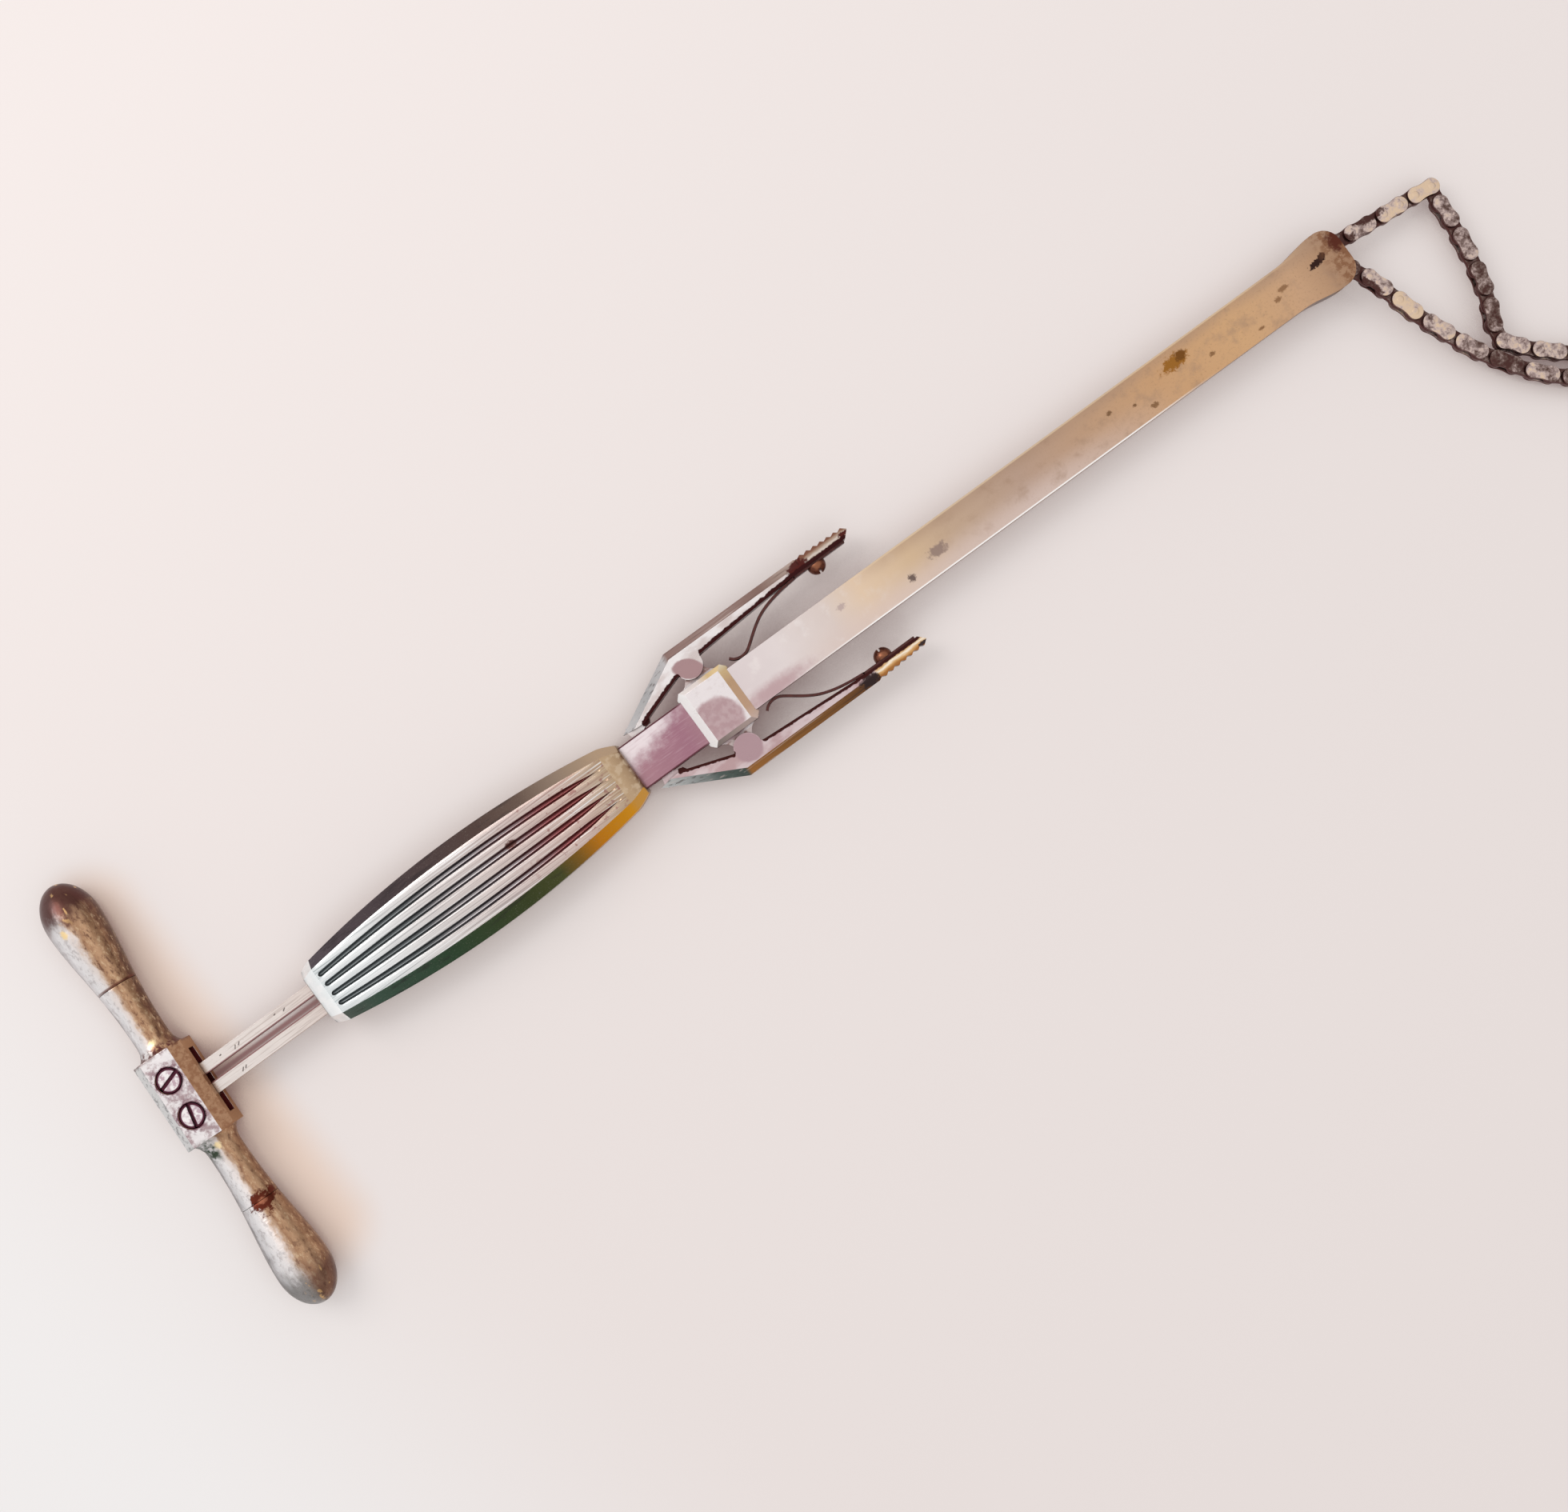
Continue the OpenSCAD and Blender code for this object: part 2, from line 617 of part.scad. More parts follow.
dome_rim_h = 0.7;
dome_rise = dome_h - dome_rim_h;
dome_sphere_r = (pow(dome_r, 2) + pow(dome_rise, 2)) / (2 * dome_rise);
dome_slot_w = 0.6;
dome_slot_d = 0.8;
module spring_screw() color(dark_steel) mid_plane()
    translate([pawl_x + leaf_screw_dx, pawl_y + seat_y - leaf_t, 0]) rotate([90, 0, 0])
        difference() {
            union() {
                cylinder(r = dome_r, h = dome_rim_h, $fn = round_fn);
                intersection() {
                    translate([0, 0, dome_h - dome_sphere_r]) sphere(r = dome_sphere_r, $fn = round_fn);
                    cylinder(r = dome_r, h = dome_h, $fn = round_fn);
                }
                translate([0, 0, -leaf_t - leaf_shank_len + run_fit])
                    cylinder(r = leaf_shank_r, h = leaf_t + leaf_shank_len, $fn = small_fn);
            }
            translate([-dome_slot_w / 2, -dome_r, dome_h - dome_slot_d])
                cube([dome_slot_w, 2 * dome_r, dome_slot_d + over]);
        }

// Racks: a bar with an eye behind, teeth outside and a tongue in front
tooth_edge = [
    for (i = [-1:rack_teeth - 1], k = [0:3]) let (x = nose_x + i * tooth_pitch)
        k == 0 ? [x, tooth_root]
        : k == 1 ? [x + tooth_flat, tooth_root]
        : k == 2 ? [x + tooth_pitch - tooth_crest, rack_out]
        : [x + tooth_pitch, rack_out]
];

module rack_plan(eye) {
    polygon(concat(
        [[eye[0] + eye_neck, rack_in], [eye[0] + eye_neck, rack_out], [nose_x - tooth_pitch, rack_out]],
        tooth_edge,
        [[rack_front_x, rack_out], [rack_front_x, rack_in]]
    ));
    polygon([
        [eye[0] + eye_neck + over, rack_in], [eye[0] + eye_neck + over, rack_out],
        [eye[0] + eye_lean, eye[1] + eye_flank], [eye[0] - eye_lean, eye[1] - eye_flank]
    ]);
    translate(eye) circle(r = eye_r, $fn = round_fn);
}

module rack_bar(eye, play) color(bright) mid_plane() difference() {
    union() {
        slab(rack_h) rack_plan(eye);
        slab(inner_t) {
            translate([rack_front_x - over, lane_y - waist_w / 2])
                square([anchor_x - rack_front_x + over, waist_w]);
            translate([anchor_x, lane_y]) circle(r = plate_r, $fn = small_fn);
        }
    }
    translate([anchor_x, lane_y, 0])
        cylinder(r = rivet_hole_r, h = 2 * lane_h, center = true, $fn = small_fn);
    translate([eye[0], eye[1], 0]) rack_eye_hole(play);
}

// The open eye gives the second screw room for its arc
module rack_eye_hole(play) {
    r = play > 0 ? wide_eye_r : eye_hole_r;
    cylinder(r = r, h = 2 * lane_h, center = true, $fn = small_fn);
    if (play > 0) {
        translate([0, -play, 0]) cylinder(r = r, h = 2 * lane_h, center = true, $fn = small_fn);
        translate([-r, -play, -lane_h]) cube([2 * r, play, 2 * lane_h]);
    }
}
module rack_left() rack_bar(left_pivot, 0);
module rack_right() mirror([0, 1, 0]) rack_bar([right_pivot[0], -right_pivot[1]], eye_play);

// Cross handle, built along Y round its own middle
module at_handle() {
    translate([handle_x, 0, axis_z]) rotate([0, 0, -rock_rest]) children();
}
bulb_end = 9.8;
bulb_y = handle_len / 2 - bulb_end;
foot_len = 4.3;
neck_y = yoke_y / 2 + foot_len;
foot_r = neck_d / 2 + 1.4;
function arm_r(y) =
    y < neck_y ? neck_d / 2 + (foot_r - neck_d / 2) * pow((neck_y - y) / (neck_y - yoke_y / 2), 3)
    : y < bulb_y ? neck_d / 2 + (bulb_d - neck_d) / 2 * ease(pow((y - neck_y) / (bulb_y - neck_y), 1.25))
    : bulb_d / 2 * sqrt(max(0, 1 - pow((y - bulb_y) / (handle_len / 2 - bulb_y), 2)));
module turned(from_y, to_y, steps) {
    rotate([-90, 0, 0]) rotate_extrude($fn = round_fn) polygon(concat(
        [[0, from_y]],
        [for (i = [0:steps]) let (y = from_y + (to_y - from_y) * i / steps) [arm_r(y), y]],
        to_y < handle_len / 2 ? [[0, to_y]] : []
    ));
}

module handle_yoke() color(patina) at_handle() difference() {
    union() {
        across(yoke_y) bevelled(yoke_x, yoke_h, yoke_bevel);
        for (side = [0, 1]) mirror([0, side, 0]) {
            turned(yoke_y / 2 - over, seam_y, 14);
            translate([0, seam_y - over, 0]) rotate([-90, 0, 0])
                cylinder(r = spigot_r, h = spigot_len + over, $fn = round_fn);
        }
    }
    translate([-yoke_slot_back, -yoke_slot_y / 2, -yoke_slot_h / 2])
        cube([yoke_slot_back + yoke_x, yoke_slot_y, yoke_slot_h]);
    for (side = [-1, 1]) translate([0, side * pivot_gap / 2, 0]) {
        translate([0, 0, -yoke_slot_h / 2 - pivot_depth])
            cylinder(r = pivot_r + run_fit, h = yoke_h, $fn = small_fn);
        translate([0, 0, yoke_h / 2 - pivot_head_h])
            cylinder(r = pivot_head_r + pivot_ring, h = yoke_h, $fn = round_fn);
    }
}

module handle_bulb() color(patina) difference() {
    turned_bulb();
    translate([0, seam_y - over, 0]) rotate([-90, 0, 0])
        cylinder(r = spigot_r + slide_fit, h = spigot_len + clear_gap + over, $fn = round_fn);
}
module turned_bulb() {
    rotate([-90, 0, 0]) rotate_extrude($fn = round_fn) polygon(concat(
        [[0, seam_y + seam_gap]],
        [for (i = [0:12]) let (y = seam_y + seam_gap + (bulb_y - seam_y - seam_gap) * i / 12)
            [arm_r(y), y]],
        [for (a = [80:-8:8]) [bulb_d / 2 * sin(a), bulb_y + (handle_len / 2 - bulb_y) * cos(a)]],
        [[0, handle_len / 2]]
    ));
}

module pivot_screw(side, slot_deg) color(bright) at_handle()
    translate([0, side * pivot_gap / 2, 0]) difference() {
        union() {
            translate([0, 0, yoke_h / 2 - pivot_head_h])
                cylinder(r = pivot_head_r, h = pivot_head_h, $fn = round_fn);
            translate([0, 0, -yoke_slot_h / 2 - pivot_depth + run_fit])
                cylinder(r = pivot_r, h = yoke_slot_h / 2 + pivot_depth + yoke_h / 2 - pivot_head_h,
                    $fn = small_fn);
        }
        translate([0, 0, yoke_h / 2 - screw_slot_d]) rotate([0, 0, slot_deg])
            translate([-pivot_head_r - over, -screw_slot_w / 2, 0])
                cube([2 * pivot_head_r + 2 * over, screw_slot_w, screw_slot_d + over]);
    }

// Chain links, drawn flat from pin p to pin q
module plate(p, q) {
    translate(p) circle(r = plate_r, $fn = small_fn);
    translate(q) circle(r = plate_r, $fn = small_fn);
    translate(p) rotate([0, 0, atan2(q[1] - p[1], q[0] - p[0])])
        translate([0, -waist_w / 2]) square([norm(q - p), waist_w]);
}
module rivet(p, r) {
    translate([p[0], p[1], -chain_half]) cylinder(r = r, h = 2 * chain_half, $fn = small_fn);
}
module outer_link(p, q, first_rivet, last_rivet) {
    for (side = [-1, 1]) translate([0, 0, side * (chain_half - outer_t / 2)])
        slab(outer_t) plate(p, q);
    if (first_rivet) rivet(p, rivet_r);
    if (last_rivet) rivet(q, rivet_r);
}
module inner_link(p, q, t, last_hole) difference() {
    slab(t) plate(p, q);
    rivet(p, rivet_hole_r);
    if (last_hole) rivet(q, rivet_hole_r);
}

module chain_tail() color(dark_steel) mid_plane() for (i = [0:tail_links - 1]) {
    p = [anchor_x + i * link_pitch, lane_y];
    q = p + [link_pitch, 0];
    if (i == 0) difference() {
        outer_link(p, q, false, true);
        rivet(p, rivet_hole_r);
    }
    else if (i % 2 == 0) outer_link(p, q, true, true);
    else if (i == tail_links - 1) inner_link(p, q, root_plate_t, false);
    else inner_link(p, q, inner_t, true);
}

module anchor_pin() color(bright) mid_plane() rivet([anchor_x, lane_y], rivet_r);

module chain_plane() {
    translate([root_x, 0, axis_z]) rotate([0, droop, 0]) translate([-root_x, 0, 0]) children();
}

// Unit number n of a strand: up to four links, the first on the last unit's pin
module chain_unit(pins, n) color(patina) chain_plane()
    for (i = [(n - 1) * unit_links:min(n * unit_links, len(pins) - 1) - 1]) {
        at_root = i == 0;
        at_apex = i == len(pins) - 2;
        if (i % 2 == 0) outer_link(pins[i], pins[i + 1], !at_root, !at_apex);
        else inner_link(pins[i], pins[i + 1], inner_t, !at_apex);
    }

module right_side() mirror([0, 1, 0]) children();

sheath_tube();
centre_rib();
grip_shell();
grip_front_ring();
grip_rear_cap();
cap_screws();
collar();
pawl_pin();  // pawl_pin_left
right_side() pawl_pin();  // pawl_pin_right
pawl_lever();  // pawl_lever_left
right_side() pawl_lever();  // pawl_lever_right
leaf_spring();  // leaf_spring_left
right_side() leaf_spring();  // leaf_spring_right
spring_screw();  // spring_screw_left
right_side() spring_screw();  // spring_screw_right
rack_left();
rack_right();
anchor_pin();  // anchor_pin_left
right_side() anchor_pin();  // anchor_pin_right
chain_tail();  // chain_tail_left
right_side() chain_tail();  // chain_tail_right
handle_yoke();
at_handle() handle_bulb();  // handle_bulb_left
at_handle() mirror([0, 1, 0]) handle_bulb();  // handle_bulb_right
pivot_screw(1, 20);  // pivot_screw_left
pivot_screw(-1, 79);  // pivot_screw_right
chain_unit(left_pins, 1);  // chain_left_1
chain_unit(left_pins, 2);  // chain_left_2
chain_unit(left_pins, 3);  // chain_left_3
chain_unit(left_pins, 4);  // chain_left_4
chain_unit(left_pins, 5);  // chain_left_5
chain_unit(left_pins, 6);  // chain_left_6
chain_unit(left_pins, 7);  // chain_left_7
chain_unit(right_pins, 1);  // chain_right_1
chain_unit(right_pins, 2);  // chain_right_2
chain_unit(right_pins, 3);  // chain_right_3
chain_unit(right_pins, 4);  // chain_right_4
chain_unit(right_pins, 5);  // chain_right_5
chain_unit(right_pins, 6);  // chain_right_6
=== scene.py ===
import math

import bmesh
import bpy
from mathutils import Matrix, Vector


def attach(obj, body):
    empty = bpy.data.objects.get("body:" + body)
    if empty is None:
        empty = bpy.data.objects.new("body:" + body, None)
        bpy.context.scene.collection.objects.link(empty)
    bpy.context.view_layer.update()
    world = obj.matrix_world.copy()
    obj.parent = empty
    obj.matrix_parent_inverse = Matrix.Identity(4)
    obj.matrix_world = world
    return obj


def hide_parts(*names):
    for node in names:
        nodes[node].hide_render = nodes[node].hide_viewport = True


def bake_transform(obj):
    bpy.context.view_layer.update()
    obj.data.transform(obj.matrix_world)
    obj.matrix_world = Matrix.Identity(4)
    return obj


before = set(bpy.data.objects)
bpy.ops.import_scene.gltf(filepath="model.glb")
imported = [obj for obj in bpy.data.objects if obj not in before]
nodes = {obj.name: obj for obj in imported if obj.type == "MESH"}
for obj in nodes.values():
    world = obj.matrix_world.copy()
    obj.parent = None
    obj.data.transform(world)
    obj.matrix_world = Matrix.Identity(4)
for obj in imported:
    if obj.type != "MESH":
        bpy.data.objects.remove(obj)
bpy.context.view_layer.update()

MM = 0.001
scene = bpy.context.scene

# The photograph looks straight down, with the sheath's axis turned up to the right
PHOTO_TURN = math.radians(36.14)
camera_data = bpy.data.cameras.new("camera")
camera_data.sensor_width = 36
camera_data.lens = 43.5
camera_data.clip_end = 20
camera = bpy.data.objects.new("camera", camera_data)
camera.location = (0.0764, -0.01865, 0.4568)
camera.rotation_euler = (0, 0, -PHOTO_TURN)
scene.collection.objects.link(camera)
scene.camera = camera
scene.view_settings.view_transform = "Standard"


# Colours are written as the eye reads them, from 0 to 255
def ink(r, g, b):
    def linear(v):
        v /= 255
        return v / 12.92 if v <= 0.04045 else ((v + 0.055) / 1.055) ** 2.4
    return (linear(r), linear(g), linear(b), 1)


# How metallic the nickel and steel are
METAL = 0.9
# The sockets of a Mix node that are used for colours: share, A, B and the result
MIX_SHARE, MIX_A, MIX_B, MIX_OUT = 0, 6, 7, 2


class Nodes:
    """Builds a node tree. Colours in it are plain (r, g, b) tuples as ink takes them."""

    def __init__(self, tree):
        self.tree = tree

    def set(self, socket, value):
        if isinstance(value, bpy.types.NodeSocket):
            self.tree.links.new(value, socket)
        else:
            socket.default_value = ink(*value) if socket.type == "RGBA" else value

    def node(self, kind, *inputs, **settings):
        made = self.tree.nodes.new("ShaderNode" + kind)
        for key, value in settings.items():
            if key[0].islower():
                setattr(made, key, value)
        for key, value in settings.items():
            if not key[0].islower():
                self.set(made.inputs[key.replace("_", " ")], value)
        for socket, value in zip(made.inputs, inputs):
            self.set(socket, value)
        return made

    def calc(self, operation, a, b=0.0):
        return self.node("Math", a, b, operation=operation).outputs[0]

    def step(self, value, low, high):
        """0 below low and 1 above high, with a smooth rise between them."""
        return self.node("MapRange", value, low, high, interpolation_type="SMOOTHSTEP").outputs[0]

    def plus(self, a, b):
        return self.calc("ADD", a, b)

    def minus(self, a, b):
        return self.calc("SUBTRACT", a, b)

    def times(self, *values):
        out = values[0]
        for value in values[1:]:
            out = self.calc("MULTIPLY", out, value)
        return out

    def length(self, a, b):
        return self.calc("SQRT", self.plus(self.times(a, a), self.times(b, b)))

    def turned(self, x, y, angle):
        c, s = math.cos(angle), math.sin(angle)
        return self.minus(self.times(x, c), self.times(y, s)), self.plus(self.times(x, s), self.times(y, c))

    def shake(self, noise, amount):
        """Turns a noise into an offset to either side."""
        return self.times(self.minus(noise, 0.5), amount)

    def band(self, value, start, end, soft):
        """1 between start and end, 0 outside, with soft edges."""
        return self.times(self.step(value, start - soft, start + soft),
                          self.step(value, end + soft, end - soft))

    def mix(self, a, b, *masks):
        """Colour b over colour a, as far as the product of the masks goes."""
        mask = self.times(*masks)
        n = self.tree.nodes.new("ShaderNodeMix")
        n.data_type = "RGBA"
        self.set(n.inputs[MIX_SHARE], mask)
        self.set(n.inputs[MIX_A], a)
        self.set(n.inputs[MIX_B], b)
        return n.outputs[MIX_OUT]

    def blend_stops(self, value, stops):
        """A linear colour by value, from stops of (place from 0 to 1, colour)."""
        n = self.node("ValToRGB", value)
        points = n.color_ramp.elements
        for i, (place, colour) in enumerate(stops):
            point = points[i] if i < 2 else points.new(place)
            point.position = place
            point.color = colour
        return n.outputs[0]

    def ramp(self, value, stops):
        """A colour that changes along value, from stops of (place, red, green, blue)."""
        low, high = stops[0][0], stops[-1][0]
        shares = [((place - low) / (high - low), ink(*tone)) for place, *tone in stops]
        return self.blend_stops(self.node("MapRange", value, low, high).outputs[0], shares)


class Paint(Nodes):
    """One procedural material. Places are in millimetres of the shared frame and stay on the moving piece."""

    def __init__(self, name, metallic=METAL):
        self.material = bpy.data.materials.new(name)
        self.material.use_nodes = True
        super().__init__(self.material.node_tree)
        self.shader = self.tree.nodes["Principled BSDF"]
        self.shader.inputs["Metallic"].default_value = metallic
        place = self.tree.nodes.new("ShaderNodeTexCoord")
        scaled = self.node("VectorMath", place.outputs["Object"], operation="SCALE", Scale=1000)
        self.place = scaled.outputs[0]
        self.x, self.y, self.z = self.node("SeparateXYZ", self.place).outputs
        self.nx, self.ny, self.nz = self.node("SeparateXYZ", place.outputs["Normal"]).outputs

    def noise(self, size, detail=4, stretch=(1, 1, 1), rough=0.5, seed=0.0):
        """A noise from 0 to 1 whose lumps are size millimetres across, drawn out by stretch."""
        moved = self.node("Mapping", self.place)
        moved.inputs["Location"].default_value = (seed * 17.3, seed * 7.1, seed * 3.7)
        moved.inputs["Scale"].default_value = [1 / (size * s) for s in stretch]
        return self.node("TexNoise", moved.outputs[0], Scale=1.0, Detail=detail, Roughness=rough).outputs[0]

    def offset(self, at):
        return self.minus(self.x, at[0]), self.minus(self.y, at[1])

    def radius(self, at):
        return self.length(*self.offset(at))

    def blob(self, at, radii, soft=0.35, wobble=0.5, turn=0.0, seed=1.0):
        """A patch in plan, 1 inside and 0 outside, with an uneven edge."""
        c, s = math.cos(math.radians(turn)), math.sin(math.radians(turn))
        dx, dy = self.offset(at)
        u = self.plus(self.times(dx, c / radii[0]), self.times(dy, s / radii[0]))
        v = self.plus(self.times(dx, -s / radii[1]), self.times(dy, c / radii[1]))
        far = self.length(u, v)
        bump = self.noise(min(radii) * 0.8, detail=5, rough=0.7, seed=seed)
        return self.step(self.plus(far, self.shake(bump, wobble * 2)), 1 + soft, 1 - soft)

    def away(self, a, b):
        """Distance in plan from the line between two places, in millimetres."""
        run = Vector(b) - Vector(a)
        c, s = run / run.length
        dx, dy = self.offset(a)
        along = self.plus(self.times(dx, c), self.times(dy, s))
        off = self.minus(self.times(dy, c), self.times(dx, s))
        past = self.calc("MAXIMUM", self.minus(along, run.length), self.times(along, -1.0))
        return self.length(off, self.calc("MAXIMUM", past, 0.0))

    def line(self, a, b, width, soft=0.08, wobble=0.0, seed=1.0):
        """A drawn line of a given width, 1 on it and 0 beside it."""
        far = self.away(a, b)
        if wobble:
            far = self.plus(far, self.shake(self.noise(0.9, detail=3, seed=seed), wobble))
        return self.step(far, width / 2 + soft, width / 2 - soft)

    def crevice_shade(self, distance):
        """Painted shade in corners and between parts: 1 deep in a corner and 0 on open faces."""
        n = self.node("AmbientOcclusion", samples=6, Distance=distance * MM)
        return self.step(n.outputs["AO"], 0.75, 0.25)

    def coat(self, tone, *masks):
        """Lays a tone over what is painted so far."""
        self.base = self.mix(self.base, tone, *masks)

    def finish(self, rough=0.3, spread=0.1, bump=0.03, grain=0.5, scratch=0.5, along=(8, 1, 1)):
        """Sets the colour, an uneven roughness, and a bump of fine scratches and dents."""
        self.set(self.shader.inputs["Base Color"], self.base)
        cloud = self.noise(grain * 6, seed=5)
        fine = self.noise(grain * 0.35, detail=2, stretch=along, seed=9)
        uneven = self.plus(self.times(cloud, spread * 1.4), self.times(fine, spread * 0.6))
        self.set(self.shader.inputs["Roughness"], self.plus(uneven, rough - spread))
        dents = self.noise(grain * 2.5, detail=3, seed=3)
        lines = self.noise(grain * 0.5, detail=3, stretch=along, seed=7)
        height = self.plus(self.times(dents, 1 - scratch), self.times(lines, scratch))
        n = self.node("Bump", Strength=1.0, Distance=bump * MM, Height=height)
        self.set(self.shader.inputs["Normal"], n.outputs[0])
        return self.material


def make_object(name, bm, materials, sharp=None):
    """An object from a bmesh. With an angle, its faces are smooth unless they meet at more than that."""
    mesh = bpy.data.meshes.new(name)
    bm.to_mesh(mesh)
    bm.free()
    if sharp:
        mesh.shade_smooth()
        mesh.set_sharp_from_angle(angle=math.radians(sharp))
    for material in materials:
        mesh.materials.append(material)
    piece = bpy.data.objects.new(name, mesh)
    scene.collection.objects.link(piece)
    return piece


def stand_for(piece, node, body=None):
    """Puts a piece in the place of a CAD node, riding on a body."""
    if body:
        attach(piece, body)
    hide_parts(node)


WELD_GAP, FLAT_TURN, EDGE_TURN = 2e-6, 0.6, 28


def dress(name, material, bevel=0.15, segments=2):
    """Keeps a CAD node: rounds its edges and gives it a material."""
    piece = nodes[name]
    weld = piece.modifiers.new("weld", "WELD")
    weld.merge_threshold = WELD_GAP
    flat = piece.modifiers.new("flat", "DECIMATE")
    flat.decimate_type = "DISSOLVE"
    flat.angle_limit = math.radians(FLAT_TURN)
    round_off = piece.modifiers.new("round", "BEVEL")
    round_off.width = bevel * MM
    round_off.segments = segments
    round_off.limit_method = "ANGLE"
    round_off.angle_limit = math.radians(EDGE_TURN)
    round_off.miter_outer = "MITER_ARC"
    even = piece.modifiers.new("even", "WEIGHTED_NORMAL")
    even.keep_sharp = False
    even.weight = 80
    for slot in piece.material_slots:
        slot.material = material
    if not piece.material_slots:
        piece.data.materials.append(material)


# Grip: the same section as in the CAD, with finer flutes and their own round and pointed ends
GRIP_LEN, GRIP_W, GRIP_H, GRIP_SAG = 91.6, 24.4, 13.6, 3.45
FRONT_BAND, REAR_BAND, FRONT_W, REAR_W, END_BEVEL = 4.8, 3.4, 13.5, 14.4, 1.2
FLUTE_DEPTH, RIB_CROWN, FACET_SHARE, FLUTE_SHARE = 0.8, 0.1, 0.27, 0.073
RIB_SHARE = (1 - 4 * FLUTE_SHARE) / 5
AXIS_Z = GRIP_H / 2
SHELL_BACK, SHELL_FRONT = -GRIP_LEN / 2 + REAR_BAND, GRIP_LEN / 2 - FRONT_BAND
GRIP_ARC = (SHELL_FRONT ** 2 + GRIP_SAG ** 2) / (2 * GRIP_SAG)
SHEATH_W, SHEATH_H = 11.8, 6.0
FLUTE_VIEW, FLUTE_ROUND = 0.1, 0.75
REAR_BORE, BAND_EDGE = (9.4, 3.6), 0.5


def ease(t):
    t = min(1, max(0, t))
    return t * t * (3 - 2 * t)


def arc_half(x):
    return GRIP_W / 2 - (GRIP_ARC - math.sqrt(GRIP_ARC ** 2 - x * x))


def band_mix(x, from_x, to_x, from_v, to_v):
    return from_v + (to_v - from_v) * ((x - from_x) / (to_x - from_x)) ** 1.3


def grip_half(x):
    if x < SHELL_BACK:
        return band_mix(-x, -SHELL_BACK, GRIP_LEN / 2, arc_half(SHELL_BACK), REAR_W / 2)
    if x > SHELL_FRONT:
        return band_mix(x, SHELL_FRONT, GRIP_LEN / 2, arc_half(SHELL_FRONT), FRONT_W / 2)
    return arc_half(x)


def grip_tall(x):
    if x < SHELL_BACK:
        return band_mix(-x, -SHELL_BACK, GRIP_LEN / 2, GRIP_H / 2, GRIP_H / 2 - END_BEVEL)
    if x > SHELL_FRONT:
        return band_mix(x, SHELL_FRONT, GRIP_LEN / 2, GRIP_H / 2, GRIP_H / 2 - END_BEVEL)
    return GRIP_H / 2


def steps(start, end, count):
    return [start + (end - start) * i / count for i in range(count + 1)]


def flute_size(x, j):
    """Width and depth of flute j at x, as shares of the full ones: round behind and pointed in front."""
    front = SHELL_FRONT - 0.9 - 0.25 * abs(j - 1.5)
    wide = ease((front - x) / 11) ** 0.8
    deep = (0.35 + 0.65 * wide) * min(1, wide / 0.15)
    into = (x - SHELL_BACK - 0.5) / FLUTE_ROUND
    if into < 1:
        wide = deep = math.sqrt(1 - (1 - max(into, 0)) ** 2)
    return wide, deep


def places_across(x, fluted):
    """Places across the face, from 0 to 1, each with the depth there as a share of the flutes' full depth."""
    if not fluted:
        return [(t, 0.0) for t in steps(0, 1, 12)]
    out = []
    low = 0.0
    for j in range(4):
        centre = (j + 1) * RIB_SHARE + (j + 0.5) * FLUTE_SHARE
        wide, deep = flute_size(x, j)
        half = FLUTE_VIEW / 2 * max(wide, 0.02)
        out += [(t, 0.0) for t in steps(low, centre - half, 8)]
        out += [(centre - half * math.cos(math.pi * i / 12), deep * math.sin(math.pi * i / 12) ** 2)
                for i in range(1, 12)]
        low = centre + half
    return out + [(t, 0.0) for t in steps(low, 1.0, 8)]


def grip_section(x, fluted):
    w, h = grip_half(x), grip_tall(x)
    face = w * (1 - FACET_SHARE)
    land = h - w * FACET_SHARE * 1.15
    fade = ease((x - SHELL_BACK) / 2) * ease((SHELL_FRONT - x) / 4)
    top = []
    for t, depth in places_across(x, fluted):
        rib = t / (RIB_SHARE + FLUTE_SHARE)
        crown = 2 * (rib - math.floor(rib)) * (1 + FLUTE_SHARE / RIB_SHARE) - 1
        crown = min(1, abs(crown)) ** 2 if fluted else 0.0
        top.append((face * (1 - 2 * t), h - fade * RIB_CROWN * crown - FLUTE_DEPTH * depth, depth))
    ring = [(w, land, 0.0)] + top + [(-w, land, 0.0), (-w, -land, 0.0)]
    ring += [(y, -z - 0.1 * fluted, d) for y, z, d in reversed(top)] + [(w, -land, 0.0)]
    return ring


def on_flute_lip(edge, layer):
    """Whether an edge runs along the rim of a flute."""
    a, b = edge.verts
    if a[layer] or b[layer] or abs(a.co.x - b.co.x) < 1e-7:
        return False
    return any(vert[layer] > 0.02 for face in edge.link_faces for vert in face.verts)


